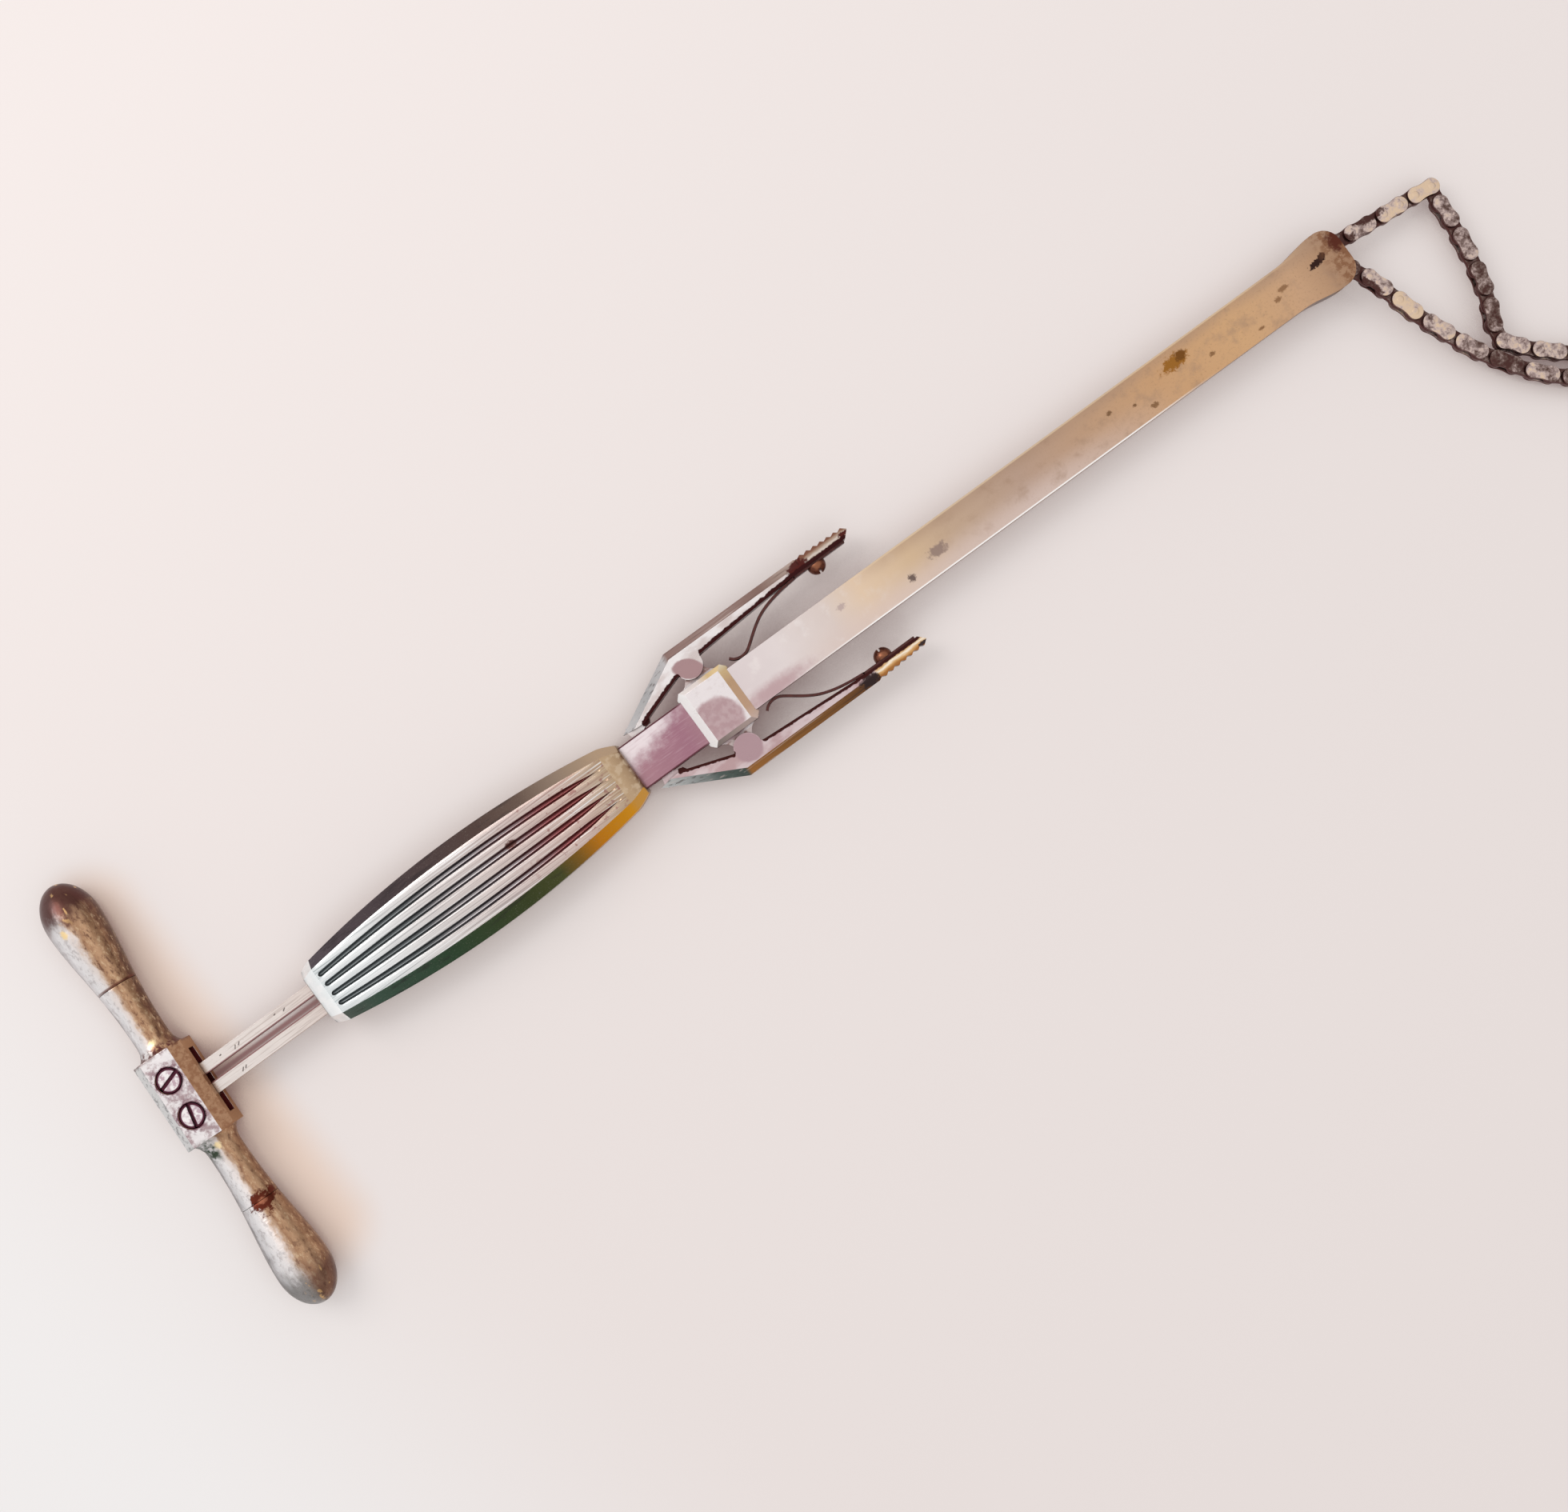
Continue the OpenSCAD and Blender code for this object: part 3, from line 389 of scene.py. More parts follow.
def grip_piece(stations, fluted, bore_size, round_end=None):
    """A loft of grip sections with a rectangular bore. Material 0 is the faces, 1 the plain slanted sides."""
    bm = bmesh.new()
    depth_layer = bm.verts.layers.float.new("depth")
    rings = []
    for x in stations:
        ring = []
        for y, z, d in grip_section(x, fluted):
            vert = bm.verts.new((x * MM, y * MM, max(0.0, AXIS_Z + z) * MM))
            vert[depth_layer] = d
            ring.append(vert)
        rings.append(ring)
    count = len(rings[0])
    n = count // 2 - 2
    # The quads beside the faces: slanted above and below, upright between
    sides = (0, n, n + 1, n + 2, 2 * n + 2, 2 * n + 3)
    for a, b in zip(rings, rings[1:]):
        for k in range(count):
            quad = bm.faces.new((a[k], a[(k + 1) % count], b[(k + 1) % count], b[k]))
            quad.material_index = 1 if k in sides else 0
    bore = []
    for x in (stations[0], stations[-1]):
        bore.append([bm.verts.new((x * MM, y * bore_size[0] / 2 * MM, (AXIS_Z + z * bore_size[1] / 2) * MM))
                     for y, z in ((1, 1), (-1, 1), (-1, -1), (1, -1))])
    for k in range(4):
        bm.faces.new((bore[1][k], bore[1][(k + 1) % 4], bore[0][(k + 1) % 4], bore[0][k]))
    for ring, hole in ((rings[0], bore[0]), (rings[-1], bore[1])):
        edges = [bm.edges.get((v, ring[(k + 1) % count])) for k, v in enumerate(ring)]
        edges += [bm.edges.get((v, hole[(k + 1) % 4])) for k, v in enumerate(hole)]
        bmesh.ops.triangle_fill(bm, use_beauty=True, edges=edges)
    bmesh.ops.recalc_face_normals(bm, faces=bm.faces)
    if round_end is not None:
        weight = bm.edges.layers.float.new("bevel_weight_edge")
        ring = rings[round_end]
        for k in range(count):
            bm.edges.get((ring[k], ring[(k + 1) % count]))[weight] = 1.0
    for edge in bm.edges:
        kinds = {face.material_index for face in edge.link_faces}
        wall = edge.calc_face_angle(0) > math.radians(70) or kinds == {1} and edge.calc_face_angle(0) > 0.5
        edge.smooth = not (len(kinds) > 1 or wall or on_flute_lip(edge, depth_layer))
    for face in bm.faces:
        face.smooth = True
    return bm


def grip_face_paint():
    p = Paint("grip_face_nickel")
    p.base = p.ramp(p.x, [
        (-46, 220, 227, 229), (-30, 230, 234, 235), (-8, 216, 209, 207), (14, 208, 191, 186),
        (30, 200, 176, 166), (37, 190, 168, 148), (42, 180, 154, 122)])
    streak = p.noise(0.36, detail=3, stretch=(80, 1, 1), seed=2)
    dark_streak = p.ramp(p.x, [(-40, 140, 150, 152), (5, 138, 126, 128), (30, 146, 104, 100)])
    p.coat(dark_streak, p.step(streak, 0.54, 0.66), 0.55)
    p.coat((240, 241, 242), p.step(streak, 0.45, 0.32), 0.75)
    flute = p.ramp(p.x, [
        (-42, 104, 110, 112), (-18, 92, 96, 98), (2, 86, 78, 82), (14, 106, 72, 74),
        (24, 122, 68, 70), (38, 116, 64, 60)])
    deep = p.node("Attribute", attribute_name="depth").outputs["Fac"]
    wave = p.noise(0.7, detail=3, stretch=(22, 1, 1), seed=4)
    edge = p.plus(deep, p.shake(wave, 0.4))
    p.coat(flute, p.step(edge, 0.1, 0.3))
    # Painted highlight: the flutes' bottoms are lighter in the middle of the grip
    pale = p.times(p.step(edge, 0.8, 1.0), p.band(p.x, -10, 16, 8), 0.75)
    p.coat((166, 162, 164), pale)
    rust = p.times(p.step(p.noise(1.4, seed=8), 0.6, 0.7), p.step(p.x, 5, 25))
    p.coat((150, 100, 96), rust, 0.7)
    p.coat((96, 62, 58), p.blob((12.5, 2.4), (1.5, 0.9), wobble=0.8, seed=5))
    return p.finish(rough=0.26, spread=0.08, bump=0.02, along=(40, 1, 1))


def grip_side_paint():
    p = Paint("grip_side_nickel")
    up = p.ramp(p.x, [
        (-46, 86, 78, 86), (-20, 72, 62, 66), (8, 84, 66, 61), (20, 108, 90, 80),
        (30, 150, 132, 116), (42, 186, 162, 134)])
    down = p.ramp(p.x, [
        (-44, 88, 98, 92), (-34, 62, 88, 74), (-14, 48, 76, 52), (8, 62, 74, 38),
        (18, 78, 84, 44), (24, 140, 104, 36), (30, 206, 134, 20), (40, 226, 158, 24),
        (42, 214, 160, 70)])
    p.base = p.mix(down, up, p.step(p.y, -0.5, 0.5))
    speck = p.noise(0.3, detail=3, seed=6)
    p.coat((150, 150, 140), p.step(speck, 0.6, 0.74), 0.4)
    wear = p.noise(2.6, detail=5, stretch=(4, 1, 1), rough=0.65, seed=7)
    p.coat((44, 38, 42), p.step(wear, 0.5, 0.66), p.step(p.x, 26, 10), 0.6)
    # Painted shade: the sides are darker towards the bottom
    low = p.step(p.z, AXIS_Z + 1.5, AXIS_Z - 3)
    p.coat((70, 62, 60), low, 0.6)
    return p.finish(rough=0.34, bump=0.02, along=(14, 1, 1))


def grip_band_paint(name, stops, shine, side_shade):
    p = Paint(name)
    p.base = p.ramp(p.x, stops)
    cloud = p.noise(1.8, seed=3)
    p.coat(shine, p.step(cloud, 0.46, 0.62), 0.6)
    # Painted shade: faces that turn away from above take the darker side tone
    side = p.step(p.nz, 0.6, 0.3)
    p.coat(side_shade, side, 0.75)
    return p.finish(bump=0.04)


grip_face = grip_face_paint()
grip_side = grip_side_paint()
front_band = grip_band_paint("grip_front_nickel", [
    (41, 188, 160, 128), (42.6, 190, 162, 130), (44.8, 170, 142, 112), (45.8, 112, 76, 58)],
    (212, 190, 162), (160, 132, 96))
rear_band = grip_band_paint("grip_rear_nickel", [
    (-46, 214, 220, 222), (-44.6, 248, 250, 251), (-42.4, 240, 245, 246)], (255, 255, 255),
    (150, 154, 156))

TUBE_BORE = (SHEATH_W + 0.1, SHEATH_H + 0.1)
grip_x = steps(SHELL_BACK, SHELL_BACK + 0.5, 2)
grip_x += [SHELL_BACK + 0.5 + FLUTE_ROUND * (1 - math.cos(math.pi * i / 14)) for i in range(1, 8)]
grip_x += steps(grip_x[-1], SHELL_BACK + 4, 5)[1:] + steps(SHELL_BACK + 4, SHELL_FRONT - 12, 150)[1:]
grip_x += steps(SHELL_FRONT - 12, SHELL_FRONT, 50)[1:]
front_x = steps(SHELL_FRONT, GRIP_LEN / 2, 10)
rear_x = steps(-GRIP_LEN / 2, SHELL_BACK, 8)
shell = make_object("grip_fluted_shell", grip_piece(grip_x, True, TUBE_BORE), [grip_face, grip_side])
front = make_object("grip_front_band", grip_piece(front_x, False, TUBE_BORE, -1), [front_band, grip_side])
rear = make_object("grip_rear_band", grip_piece(rear_x, False, REAR_BORE, 0), [rear_band, rear_band])
for piece, node in ((shell, "grip_shell"), (front, "grip_front_ring"), (rear, "grip_rear_cap")):
    stand_for(piece, node, "sheath")
for piece in (front, rear):
    edge = piece.modifiers.new("round", "BEVEL")
    edge.width = BAND_EDGE * MM
    edge.segments = 3
    edge.limit_method = "WEIGHT"


# Sheath, collar and levers
# Small stains on the sheath: place, half lengths and tone
SHEATH_STAINS = (((125.6, -2.5), (0.9, 0.9), (84, 66, 66)), ((134.4, -0.8), (2.4, 1.3), (146, 124, 116)),
                 ((196, -3.4), (1.0, 0.6), (128, 92, 60)), ((186, 1.4), (0.6, 0.5), (116, 84, 56)),
                 ((192, -0.6), (0.5, 0.4), (116, 84, 56)), ((214, -1.6), (0.8, 0.5), (132, 94, 62)),
                 ((236.5, 1.0), (1.4, 0.6), (140, 102, 70)), ((234, -0.4), (0.9, 0.6), (140, 102, 70)),
                 ((227, -3.6), (0.8, 0.3), (132, 94, 62)), ((108, 1.8), (1.1, 0.7), (190, 170, 166)))


def sheath_paint():
    p = Paint("sheath_nickel_plate")
    p.base = p.ramp(p.x, [
        (46, 172, 130, 140), (60, 162, 116, 132), (66, 170, 130, 140), (76, 222, 210, 211),
        (90, 228, 218, 217), (104, 222, 208, 202), (114, 229, 204, 178), (128, 214, 186, 154),
        (140, 197, 170, 146), (160, 188, 160, 142), (178, 194, 159, 131), (200, 206, 163, 122),
        (222, 213, 171, 128), (240, 205, 166, 132), (250, 176, 140, 112), (256, 160, 122, 96)])
    low_side = p.times(p.step(p.y, 1.5, -5.5), p.step(p.x, 84, 112), p.step(p.x, 208, 160))
    p.coat((222, 202, 194), low_side, 0.75)
    high_side = p.times(p.step(p.y, 2.0, 5.5), p.step(p.x, 104, 135), p.noise(9, detail=3))
    p.coat((176, 146, 124), high_side)
    cloud = p.noise(5, detail=5, rough=0.6, seed=6)
    p.coat((168, 138, 116), p.step(cloud, 0.5, 0.72), p.step(p.x, 120, 165), 0.55)
    p.coat((236, 228, 226), p.step(cloud, 0.47, 0.3), p.step(p.x, 130, 96), p.step(p.x, 68, 76), 0.6)
    grime = p.noise(0.6, detail=5, rough=0.75, seed=11)
    p.coat((146, 112, 86), p.step(grime, 0.54, 0.7), p.step(p.x, 110, 240), 0.5)
    corner = p.blob((49.5, 5.6), (12.5, 4.6), soft=0.6, wobble=0.8, turn=14, seed=2)
    p.coat((234, 222, 225), corner)
    rubbed = p.noise(0.35, detail=5, stretch=(16, 1, 1), rough=0.7, seed=21)
    p.coat((196, 162, 172), p.band(p.x, 44, 66, 3), p.step(rubbed, 0.5, 0.7), 0.45)
    p.coat((186, 152, 156), p.blob((84, -4.6), (9, 2.0), soft=0.7, seed=4), 0.8)
    p.coat((158, 106, 44), p.blob((205.6, 2.1), (3.4, 1.6), soft=0.25, wobble=1.3, seed=7))
    p.coat((122, 78, 34), p.blob((207.6, 2.6), (1.4, 1.1), soft=0.25, wobble=1.3, seed=3))
    p.coat((54, 34, 30), p.blob((246.7, 1.2), (2.4, 0.8), soft=0.15, wobble=1.5, turn=6, seed=8))
    p.coat((64, 40, 34), p.blob((248.4, 1.9), (1.0, 0.7), soft=0.15, wobble=1.3, seed=5))
    stain = p.noise(1.6, detail=5, rough=0.7, seed=13)
    lip = p.times(p.step(p.x, 246.5, 251), p.step(stain, 0.42, 0.58))
    p.coat((132, 88, 60), lip, 0.75)
    p.coat((92, 46, 34), p.blob((253.4, 3.0), (2.4, 2.6), soft=0.4, wobble=1.2, seed=9))
    for place, size, tone in SHEATH_STAINS:
        p.coat(tone, p.blob(place, size, wobble=1.4, seed=place[0]), 0.85)
    # Painted shade: the side walls are dark along the whole sheath
    side = p.step(p.nz, 0.75, 0.3)
    p.coat(p.ramp(p.x, [(46, 96, 60, 64), (90, 140, 104, 104), (150, 160, 128, 108), (236, 150, 116, 92),
        (244, 92, 60, 48), (256, 84, 50, 42)]), side)
    upper = p.step(p.nz, 0.3, 0.4)
    # Painted highlight: a light gold line along the +Y edge
    gold = p.times(upper, p.step(p.y, SHEATH_W / 2 - 0.5, SHEATH_W / 2 - 0.3), p.band(p.x, 118, 236, 14))
    p.coat((240, 218, 184), gold, 0.5)
    line = p.times(p.step(p.calc("ABSOLUTE", p.y), SHEATH_W / 2 - 0.45, SHEATH_W / 2 - 0.25),
                   p.step(p.x, 66, 62))
    p.coat((96, 54, 62), line)
    # Painted highlight: a white line along the -Y edge
    white_edge_highlight = p.times(upper, p.step(p.y, 0.45 - SHEATH_W / 2, 0.25 - SHEATH_W / 2), p.band(p.x, 100, 200, 16))
    p.coat((255, 252, 250), white_edge_highlight)
    # Painted shade in corners and gaps between parts
    p.coat((70, 42, 38), p.crevice_shade(1.2), 0.8)
    return p.finish(rough=0.34, spread=0.12, bump=0.02, along=(20, 1, 1))


def collar_paint():
    p = Paint("collar_nickel_plate")
    p.base = (236, 229, 230)
    cloud = p.noise(1.6, seed=5)
    p.coat((216, 204, 204), p.step(cloud, 0.5, 0.68), 0.4)
    patch = p.blob((69.3, -3.0), (6.0, 5.4), soft=0.12, wobble=0.2, turn=-30, seed=3)
    lilac = p.mix((184, 154, 158), (194, 168, 171), p.step(cloud, 0.4, 0.6))
    p.coat(lilac, patch, p.step(p.nz, 0.85, 0.95))
    # The front bevel in tan and gold, with a painted glint at its +Y corner
    front = p.step(p.nx, 0.35, 0.6)
    p.coat(p.ramp(p.y, [(-8, 228, 204, 194), (-4, 214, 178, 148), (3, 208, 172, 134), (6, 228, 200, 150),
        (8, 255, 246, 220)]), front)
    # Painted highlight: the back bevel, on the window's side, is white
    back = p.step(p.nx, -0.35, -0.6)
    p.coat((250, 250, 251), back)
    low = p.times(p.step(p.ny, -0.35, -0.6), p.step(p.nz, 0.05, 0.2))
    p.coat(p.ramp(p.x, [(61, 110, 118, 108), (65, 150, 140, 136), (74, 204, 186, 180)]), low)
    # Painted highlight: the +Y bevel, on the window's side, is near white, turning gold at its front corner
    high = p.times(p.step(p.ny, 0.35, 0.6), p.step(p.nz, 0.05, 0.2))
    p.coat(p.ramp(p.x, [(60, 250, 248, 248), (70, 240, 232, 228), (73, 226, 200, 150), (75, 242, 216, 164)]),
           high)
    leaning = p.times(p.calc("MAXIMUM", front, back), p.step(p.nz, 0.2, 0.5))
    p.set(p.shader.inputs["Metallic"], p.minus(METAL, p.times(leaning, 0.65)))
    # Painted shade: the steep walls are dark
    side = p.step(p.nz, 0.5, 0.2)
    p.coat((78, 36, 34), side, 0.9)
    ear = p.step(p.calc("ABSOLUTE", p.y), 8.0, 8.6)
    p.coat(p.mix((206, 190, 188), (150, 118, 112), p.step(cloud, 0.45, 0.6)), ear)
    # Painted shade in corners and gaps between parts
    p.coat((70, 36, 34), p.crevice_shade(1.2), 0.75)
    return p.finish()


PAWL_X, PAWL_Y = 70.8, 12.0


def at_lever(side, x, y):
    """A place given from a lever's pin, x forward and y outward."""
    return (PAWL_X + x, side * (PAWL_Y + y))


LONG_EDGE = ((4.4, 0.6), (26.7, 2.0), (32.7, 2.35), (47.6, 2.35))
SHORT_EDGE = ((-3.9, -0.8), (-16.2, -4.96))
TIP_START = 34.6


def lever_paint(name, side, top, boss, outer, tip, rust, inner_shade, inner_shade_w):
    p = Paint(name)
    cloud = p.noise(3.0, stretch=(2, 1, 1), seed=side)
    p.base = p.mix(top[0], top[1], p.step(cloud, 0.4, 0.65))
    p.coat(boss[0], p.blob(at_lever(side, *boss[1]), boss[2], soft=0.1, wobble=0.15, turn=boss[3]))
    outward = p.times(p.ny, side)
    bevel = p.times(p.step(outward, 0.28, 0.42), p.step(p.nz, 0.1, 0.3))
    streak = p.noise(0.7, stretch=(24, 1, 1), seed=4)
    tone = p.ramp(p.x, [(PAWL_X + place, *tint) for place, *tint in outer])
    tone = p.mix(tone, (74, 56, 52), p.step(streak, 0.55, 0.68), 0.6)
    tone = p.mix(tone, (222, 212, 206), p.step(streak, 0.42, 0.3), 0.45)
    p.coat(tone, bevel)
    # Painted shade: a dark line along the top of the outer bevel
    crest = p.times(p.band(outward, 0.2, 0.34, 0.06), p.step(p.nz, 0.5, 0.7), 0.6)
    p.coat((120, 78, 70), crest)
    reach = p.minus(p.times(p.y, side), PAWL_Y)
    # The brass tips, lighter along their ridge as a painted highlight
    at_tip = p.step(p.x, PAWL_X + TIP_START - 0.4, PAWL_X + TIP_START + 0.8)
    ripple = p.plus(reach, p.times(p.noise(1.2, stretch=(3, 1, 1), seed=6), 1.2))
    p.coat(p.ramp(ripple, tip), at_tip)
    for place, size in rust[1]:
        p.coat(rust[0], p.blob(at_lever(side, *place), size, soft=0.2, wobble=1.1, seed=place[0]))
    # Painted shade: the inner walls, which face the sheath, are dark
    wall = p.step(p.nz, 0.35, 0.1)
    p.coat(inner_shade, wall)
    # Painted shade: dark lines along the inner edges on top stand for the shaded inner walls
    edges = list(zip(LONG_EDGE, LONG_EDGE[1:])) + [SHORT_EDGE]
    for a, b in edges:
        dark = p.line(at_lever(side, *a), at_lever(side, *b), inner_shade_w * 2, soft=0.1, wobble=inner_shade_w)
        p.coat(inner_shade, dark)
    # Painted shade in corners and gaps between parts
    p.coat((66, 34, 32), p.crevice_shade(1.0), 0.85)
    return p.finish(along=(20, 1, 1))


sheath_metal = sheath_paint()
collar_metal = collar_paint()
lever_left = lever_paint(
    "lever_left_nickel", 1, ((238, 233, 233), (214, 202, 200)),
    ((172, 140, 142), (-0.5, -0.7), (3.8, 2.4), -36),
    [(-24, 206, 206, 208), (-12, 176, 178, 180), (-4.5, 196, 196, 198), (-3, 150, 124, 118),
     (8, 158, 134, 128), (24, 140, 114, 106), (34, 186, 168, 158), (40, 176, 148, 118)],
    ((2.2, 92, 42, 36), (3.0, 122, 78, 64), (3.6, 172, 146, 130), (4.2, 218, 206, 196),
     (4.7, 176, 150, 132), (5.2, 134, 92, 74), (6.6, 112, 68, 56)),
    ((84, 36, 32), (((34.4, 3.4), (2.6, 1.9)), ((47.8, 3.6), (1.4, 0.5)))), (56, 20, 20), 0.85)
lever_right = lever_paint(
    "lever_right_nickel", -1, ((214, 196, 198), (190, 160, 162)),
    ((180, 150, 156), (0, 0), (3.55, 3.55), 0),
    [(-24, 214, 218, 218), (-17, 186, 192, 192), (-9, 96, 112, 108), (-3.6, 84, 98, 92),
     (-2.6, 176, 122, 66), (6, 160, 112, 62), (22, 140, 98, 56), (34, 116, 78, 48),
     (40, 190, 130, 60)],
    ((2.2, 110, 56, 34), (3.1, 158, 104, 62), (3.7, 214, 174, 124), (4.2, 253, 242, 222),
     (4.7, 216, 170, 112), (5.3, 170, 114, 62), (6.6, 134, 84, 46)),
    ((62, 48, 48), (((32.6, 4.2), (2.4, 1.6)), ((47.8, 4.4), (1.4, 0.5)))), (62, 26, 24), 0.7)

dress("sheath_tube", sheath_metal, bevel=0.3)
dress("collar", collar_metal, bevel=0.5, segments=3)
dress("pawl_lever_left", lever_left, bevel=0.2)
dress("pawl_lever_right", lever_right, bevel=0.2)


# Plain inner pieces
def hidden_paint():
    p = Paint("hidden_plain_steel")
    p.base = p.mix((150, 140, 134), (120, 106, 100), p.step(p.noise(1.2, seed=2), 0.4, 0.62))
    # Painted shade in corners and gaps between parts
    p.coat((58, 40, 36), p.crevice_shade(1.0), 0.8)
    return p.finish(rough=0.36)


hidden_metal = hidden_paint()
for name in ("centre_rib", "cap_screws", "pawl_pin_left", "pawl_pin_right"):
    dress(name, hidden_metal, bevel=0.06)


# Rack bars
RACK_IN, RACK_OUT = 1.15, 4.15


def rack_paint():
    p = Paint("rack_satin_steel")
    p.base = p.ramp(p.x, [(-90, 210, 202, 198), (-76, 226, 218, 214), (-58, 226, 217, 212),
        (-48, 218, 206, 200), (-40, 196, 176, 170), (180, 190, 178, 172)])
    streak = p.noise(0.4, detail=3, stretch=(30, 1, 1), seed=3)
    p.coat((188, 174, 168), p.step(streak, 0.5, 0.62), 0.6)
    dirt_and_shade = p.times(p.step(p.noise(0.45, detail=3, seed=4), 0.7, 0.78), p.step(p.x, -40, -50))
    p.coat((150, 128, 122), dirt_and_shade, 0.6)
    for start, end in RACK_MARKS:
        p.coat((72, 60, 58), p.line(start, end, 0.28, wobble=0.25), 0.85)
    far = p.calc("ABSOLUTE", p.y)
    edge = p.step(p.nz, 0.93, 0.8)
    # Painted shade: the inner edges are maroon, for the shade in the gap between the bars
    p.coat((138, 96, 96), p.step(far, RACK_IN + 0.4, RACK_IN + 0.15))
    p.coat((196, 170, 152), edge, p.step(far, RACK_OUT - 0.8, RACK_OUT - 0.5))
    # Painted shade: the outer walls are dark
    p.coat((112, 72, 70), p.step(p.nz, 0.4, 0.1), p.step(far, RACK_OUT, RACK_OUT - 1))
    # Painted shade in corners and gaps between parts
    p.coat((74, 36, 36), p.crevice_shade(1.0), 0.9)
    return p.finish(rough=0.32, bump=0.02, along=(20, 1, 1))


# Short plain wear marks on the bars
RACK_MARKS = (((-69.3, 2.0), (-68.8, 2.7)), ((-68.1, 2.3), (-67.6, 2.8)), ((-73.2, 2.8), (-72.9, 2.9)),
              ((-70.9, -3.3), (-70.3, -2.7)), ((-69.9, -3.1), (-69.4, -2.6)), ((-54.8, 2.5), (-54.2, 2.9)),
              ((-57.2, 3.0), (-56.9, 3.1)))
rack_metal = rack_paint()
for name in ("rack_left", "rack_right"):
    dress(name, rack_metal, bevel=0.35)


# Cross handle: places are turned back by its resting angle, so that u runs across it and v along it
HANDLE_X, ROCK = -85.0, math.radians(2.4)
SEAM_Y, HANDLE_LEN, BULB_D, NECK_D = 30.4, 118.0, 13.4, 8.4
YOKE_Y = 23.4
NECK_Y, BULB_Y = YOKE_Y / 2 + 4.3, HANDLE_LEN / 2 - 9.8
FOOT_R = NECK_D / 2 + 1.4


def handle_frame(p):
    """Places across the handle (u), along it (v) and above its own axis (w)."""
    u, v = p.turned(p.minus(p.x, HANDLE_X), p.y, ROCK)
    return u, v, p.minus(p.z, AXIS_Z)


def turned_tone(p, u, v, w):
    """Silver on the side towards the back, worn to golden brown on the side towards the grip, with painted
    shade on both flanks of the round bar.
    """
    tilt = p.calc("DIVIDE", u, p.calc("MAXIMUM", p.length(u, w), 0.3))
    ragged = p.minus(p.noise(2.0, detail=5, stretch=(1, 2.2, 1), rough=0.65, seed=2), 0.5)
    at = p.plus(tilt, p.times(ragged, 0.6))
    lower = p.step(v, 2, -2)
    at = p.minus(at, p.times(lower, 0.14))
    # The first two and the last two stops are painted shade on the flanks
    p.base = p.ramp(at, [
        (-1.1, 106, 102, 102), (-0.93, 140, 137, 138), (-0.78, 206, 205, 207), (-0.5, 238, 236, 237),
        (-0.3, 236, 232, 232), (-0.02, 226, 214, 208), (0.1, 198, 168, 144), (0.25, 174, 134, 104),
        (0.5, 202, 162, 128), (0.75, 164, 126, 96), (0.92, 132, 98, 76), (1.0, 104, 74, 58)])
    streak = p.noise(1.0, detail=5, stretch=(1, 2.2, 1), rough=0.72, seed=3)
    dark_share = p.minus(0.7, p.times(lower, 0.2))
    p.coat((96, 60, 50), p.step(streak, 0.51, 0.64), p.step(at, -0.05, 0.15), dark_share)
    # Painted glints along the streaks on the golden side
    p.coat((228, 200, 164), p.step(streak, 0.46, 0.36), p.step(at, 0.0, 0.2), 0.55)
    mottle = p.step(p.noise(1.1, detail=5, stretch=(1, 1.8, 1), rough=0.7, seed=4), 0.5, 0.62)
    p.coat((184, 178, 178), mottle, p.step(at, 0.05, -0.2), 0.6)
    spread = p.plus(p.calc("ABSOLUTE", v), p.times(ragged, 9))
    ends = p.step(spread, 46, 53)
    dark = p.mix((88, 54, 50), (74, 70, 64), p.step(v, 0, -1), p.step(u, 2.5, 0))
    p.coat(dark, ends, p.minus(0.96, p.times(lower, 0.26)))
    glow = p.noise(1.7, detail=3, stretch=(1, 1.8, 1), rough=0.5, seed=11)
    glint = p.times(ends, p.step(glow, 0.38, 0.3), p.step(u, -2.5, 0.5))
    p.coat((220, 178, 124), glint, 0.8)
    # Painted highlight near the upper bulb's end
    p.coat((250, 222, 168), p.blob((-84.5, 46.8), (0.7, 1.1), soft=0.5, wobble=1.0, seed=6))
    # Painted glints on both arms beside the yoke
    for glint_at in ((-83.6, 14.4), (-85.2, -14.0)):
        p.coat((252, 228, 180), p.blob(glint_at, (0.8, 0.8), soft=0.5, wobble=1.0, seed=7))
    # A rust patch, with a painted highlight at its middle
    p.coat((98, 42, 28), p.blob((-84.3, -30.7), (2.9, 2.6), soft=0.2, wobble=1.7, seed=12))
    p.coat((172, 108, 82), p.blob((-84.3, -30.7), (0.9, 0.7), soft=0.5, wobble=1.0, seed=5))


def handle_paint():
    p = Paint("handle_worn_nickel")
    u, v, w = handle_frame(p)
    turned_tone(p, u, v, w)
    seam = p.times(p.band(v, SEAM_Y - 0.15, SEAM_Y + 0.6, 0.25), p.step(u, -7.5, -1.0))
    p.coat((104, 58, 46), seam, 0.85)
    # Painted shade in corners and gaps between parts
    p.coat((70, 36, 30), p.crevice_shade(1.5), 0.7)
    return p.finish(spread=0.12, bump=0.1, grain=0.7, scratch=0.3)


PIVOT_GAP, PIVOT_HEAD_R = 9.8, 2.95
PIVOTS = [(HANDLE_X + s * PIVOT_GAP / 2 * math.sin(ROCK), s * PIVOT_GAP / 2 * math.cos(ROCK))
          for s in (1, -1)]
YOKE_SLOT_Y, YOKE_SLOT_H = 17.8, 3.6
SLOT_TURNS = tuple(math.radians(turn) - ROCK for turn in (20, 79))


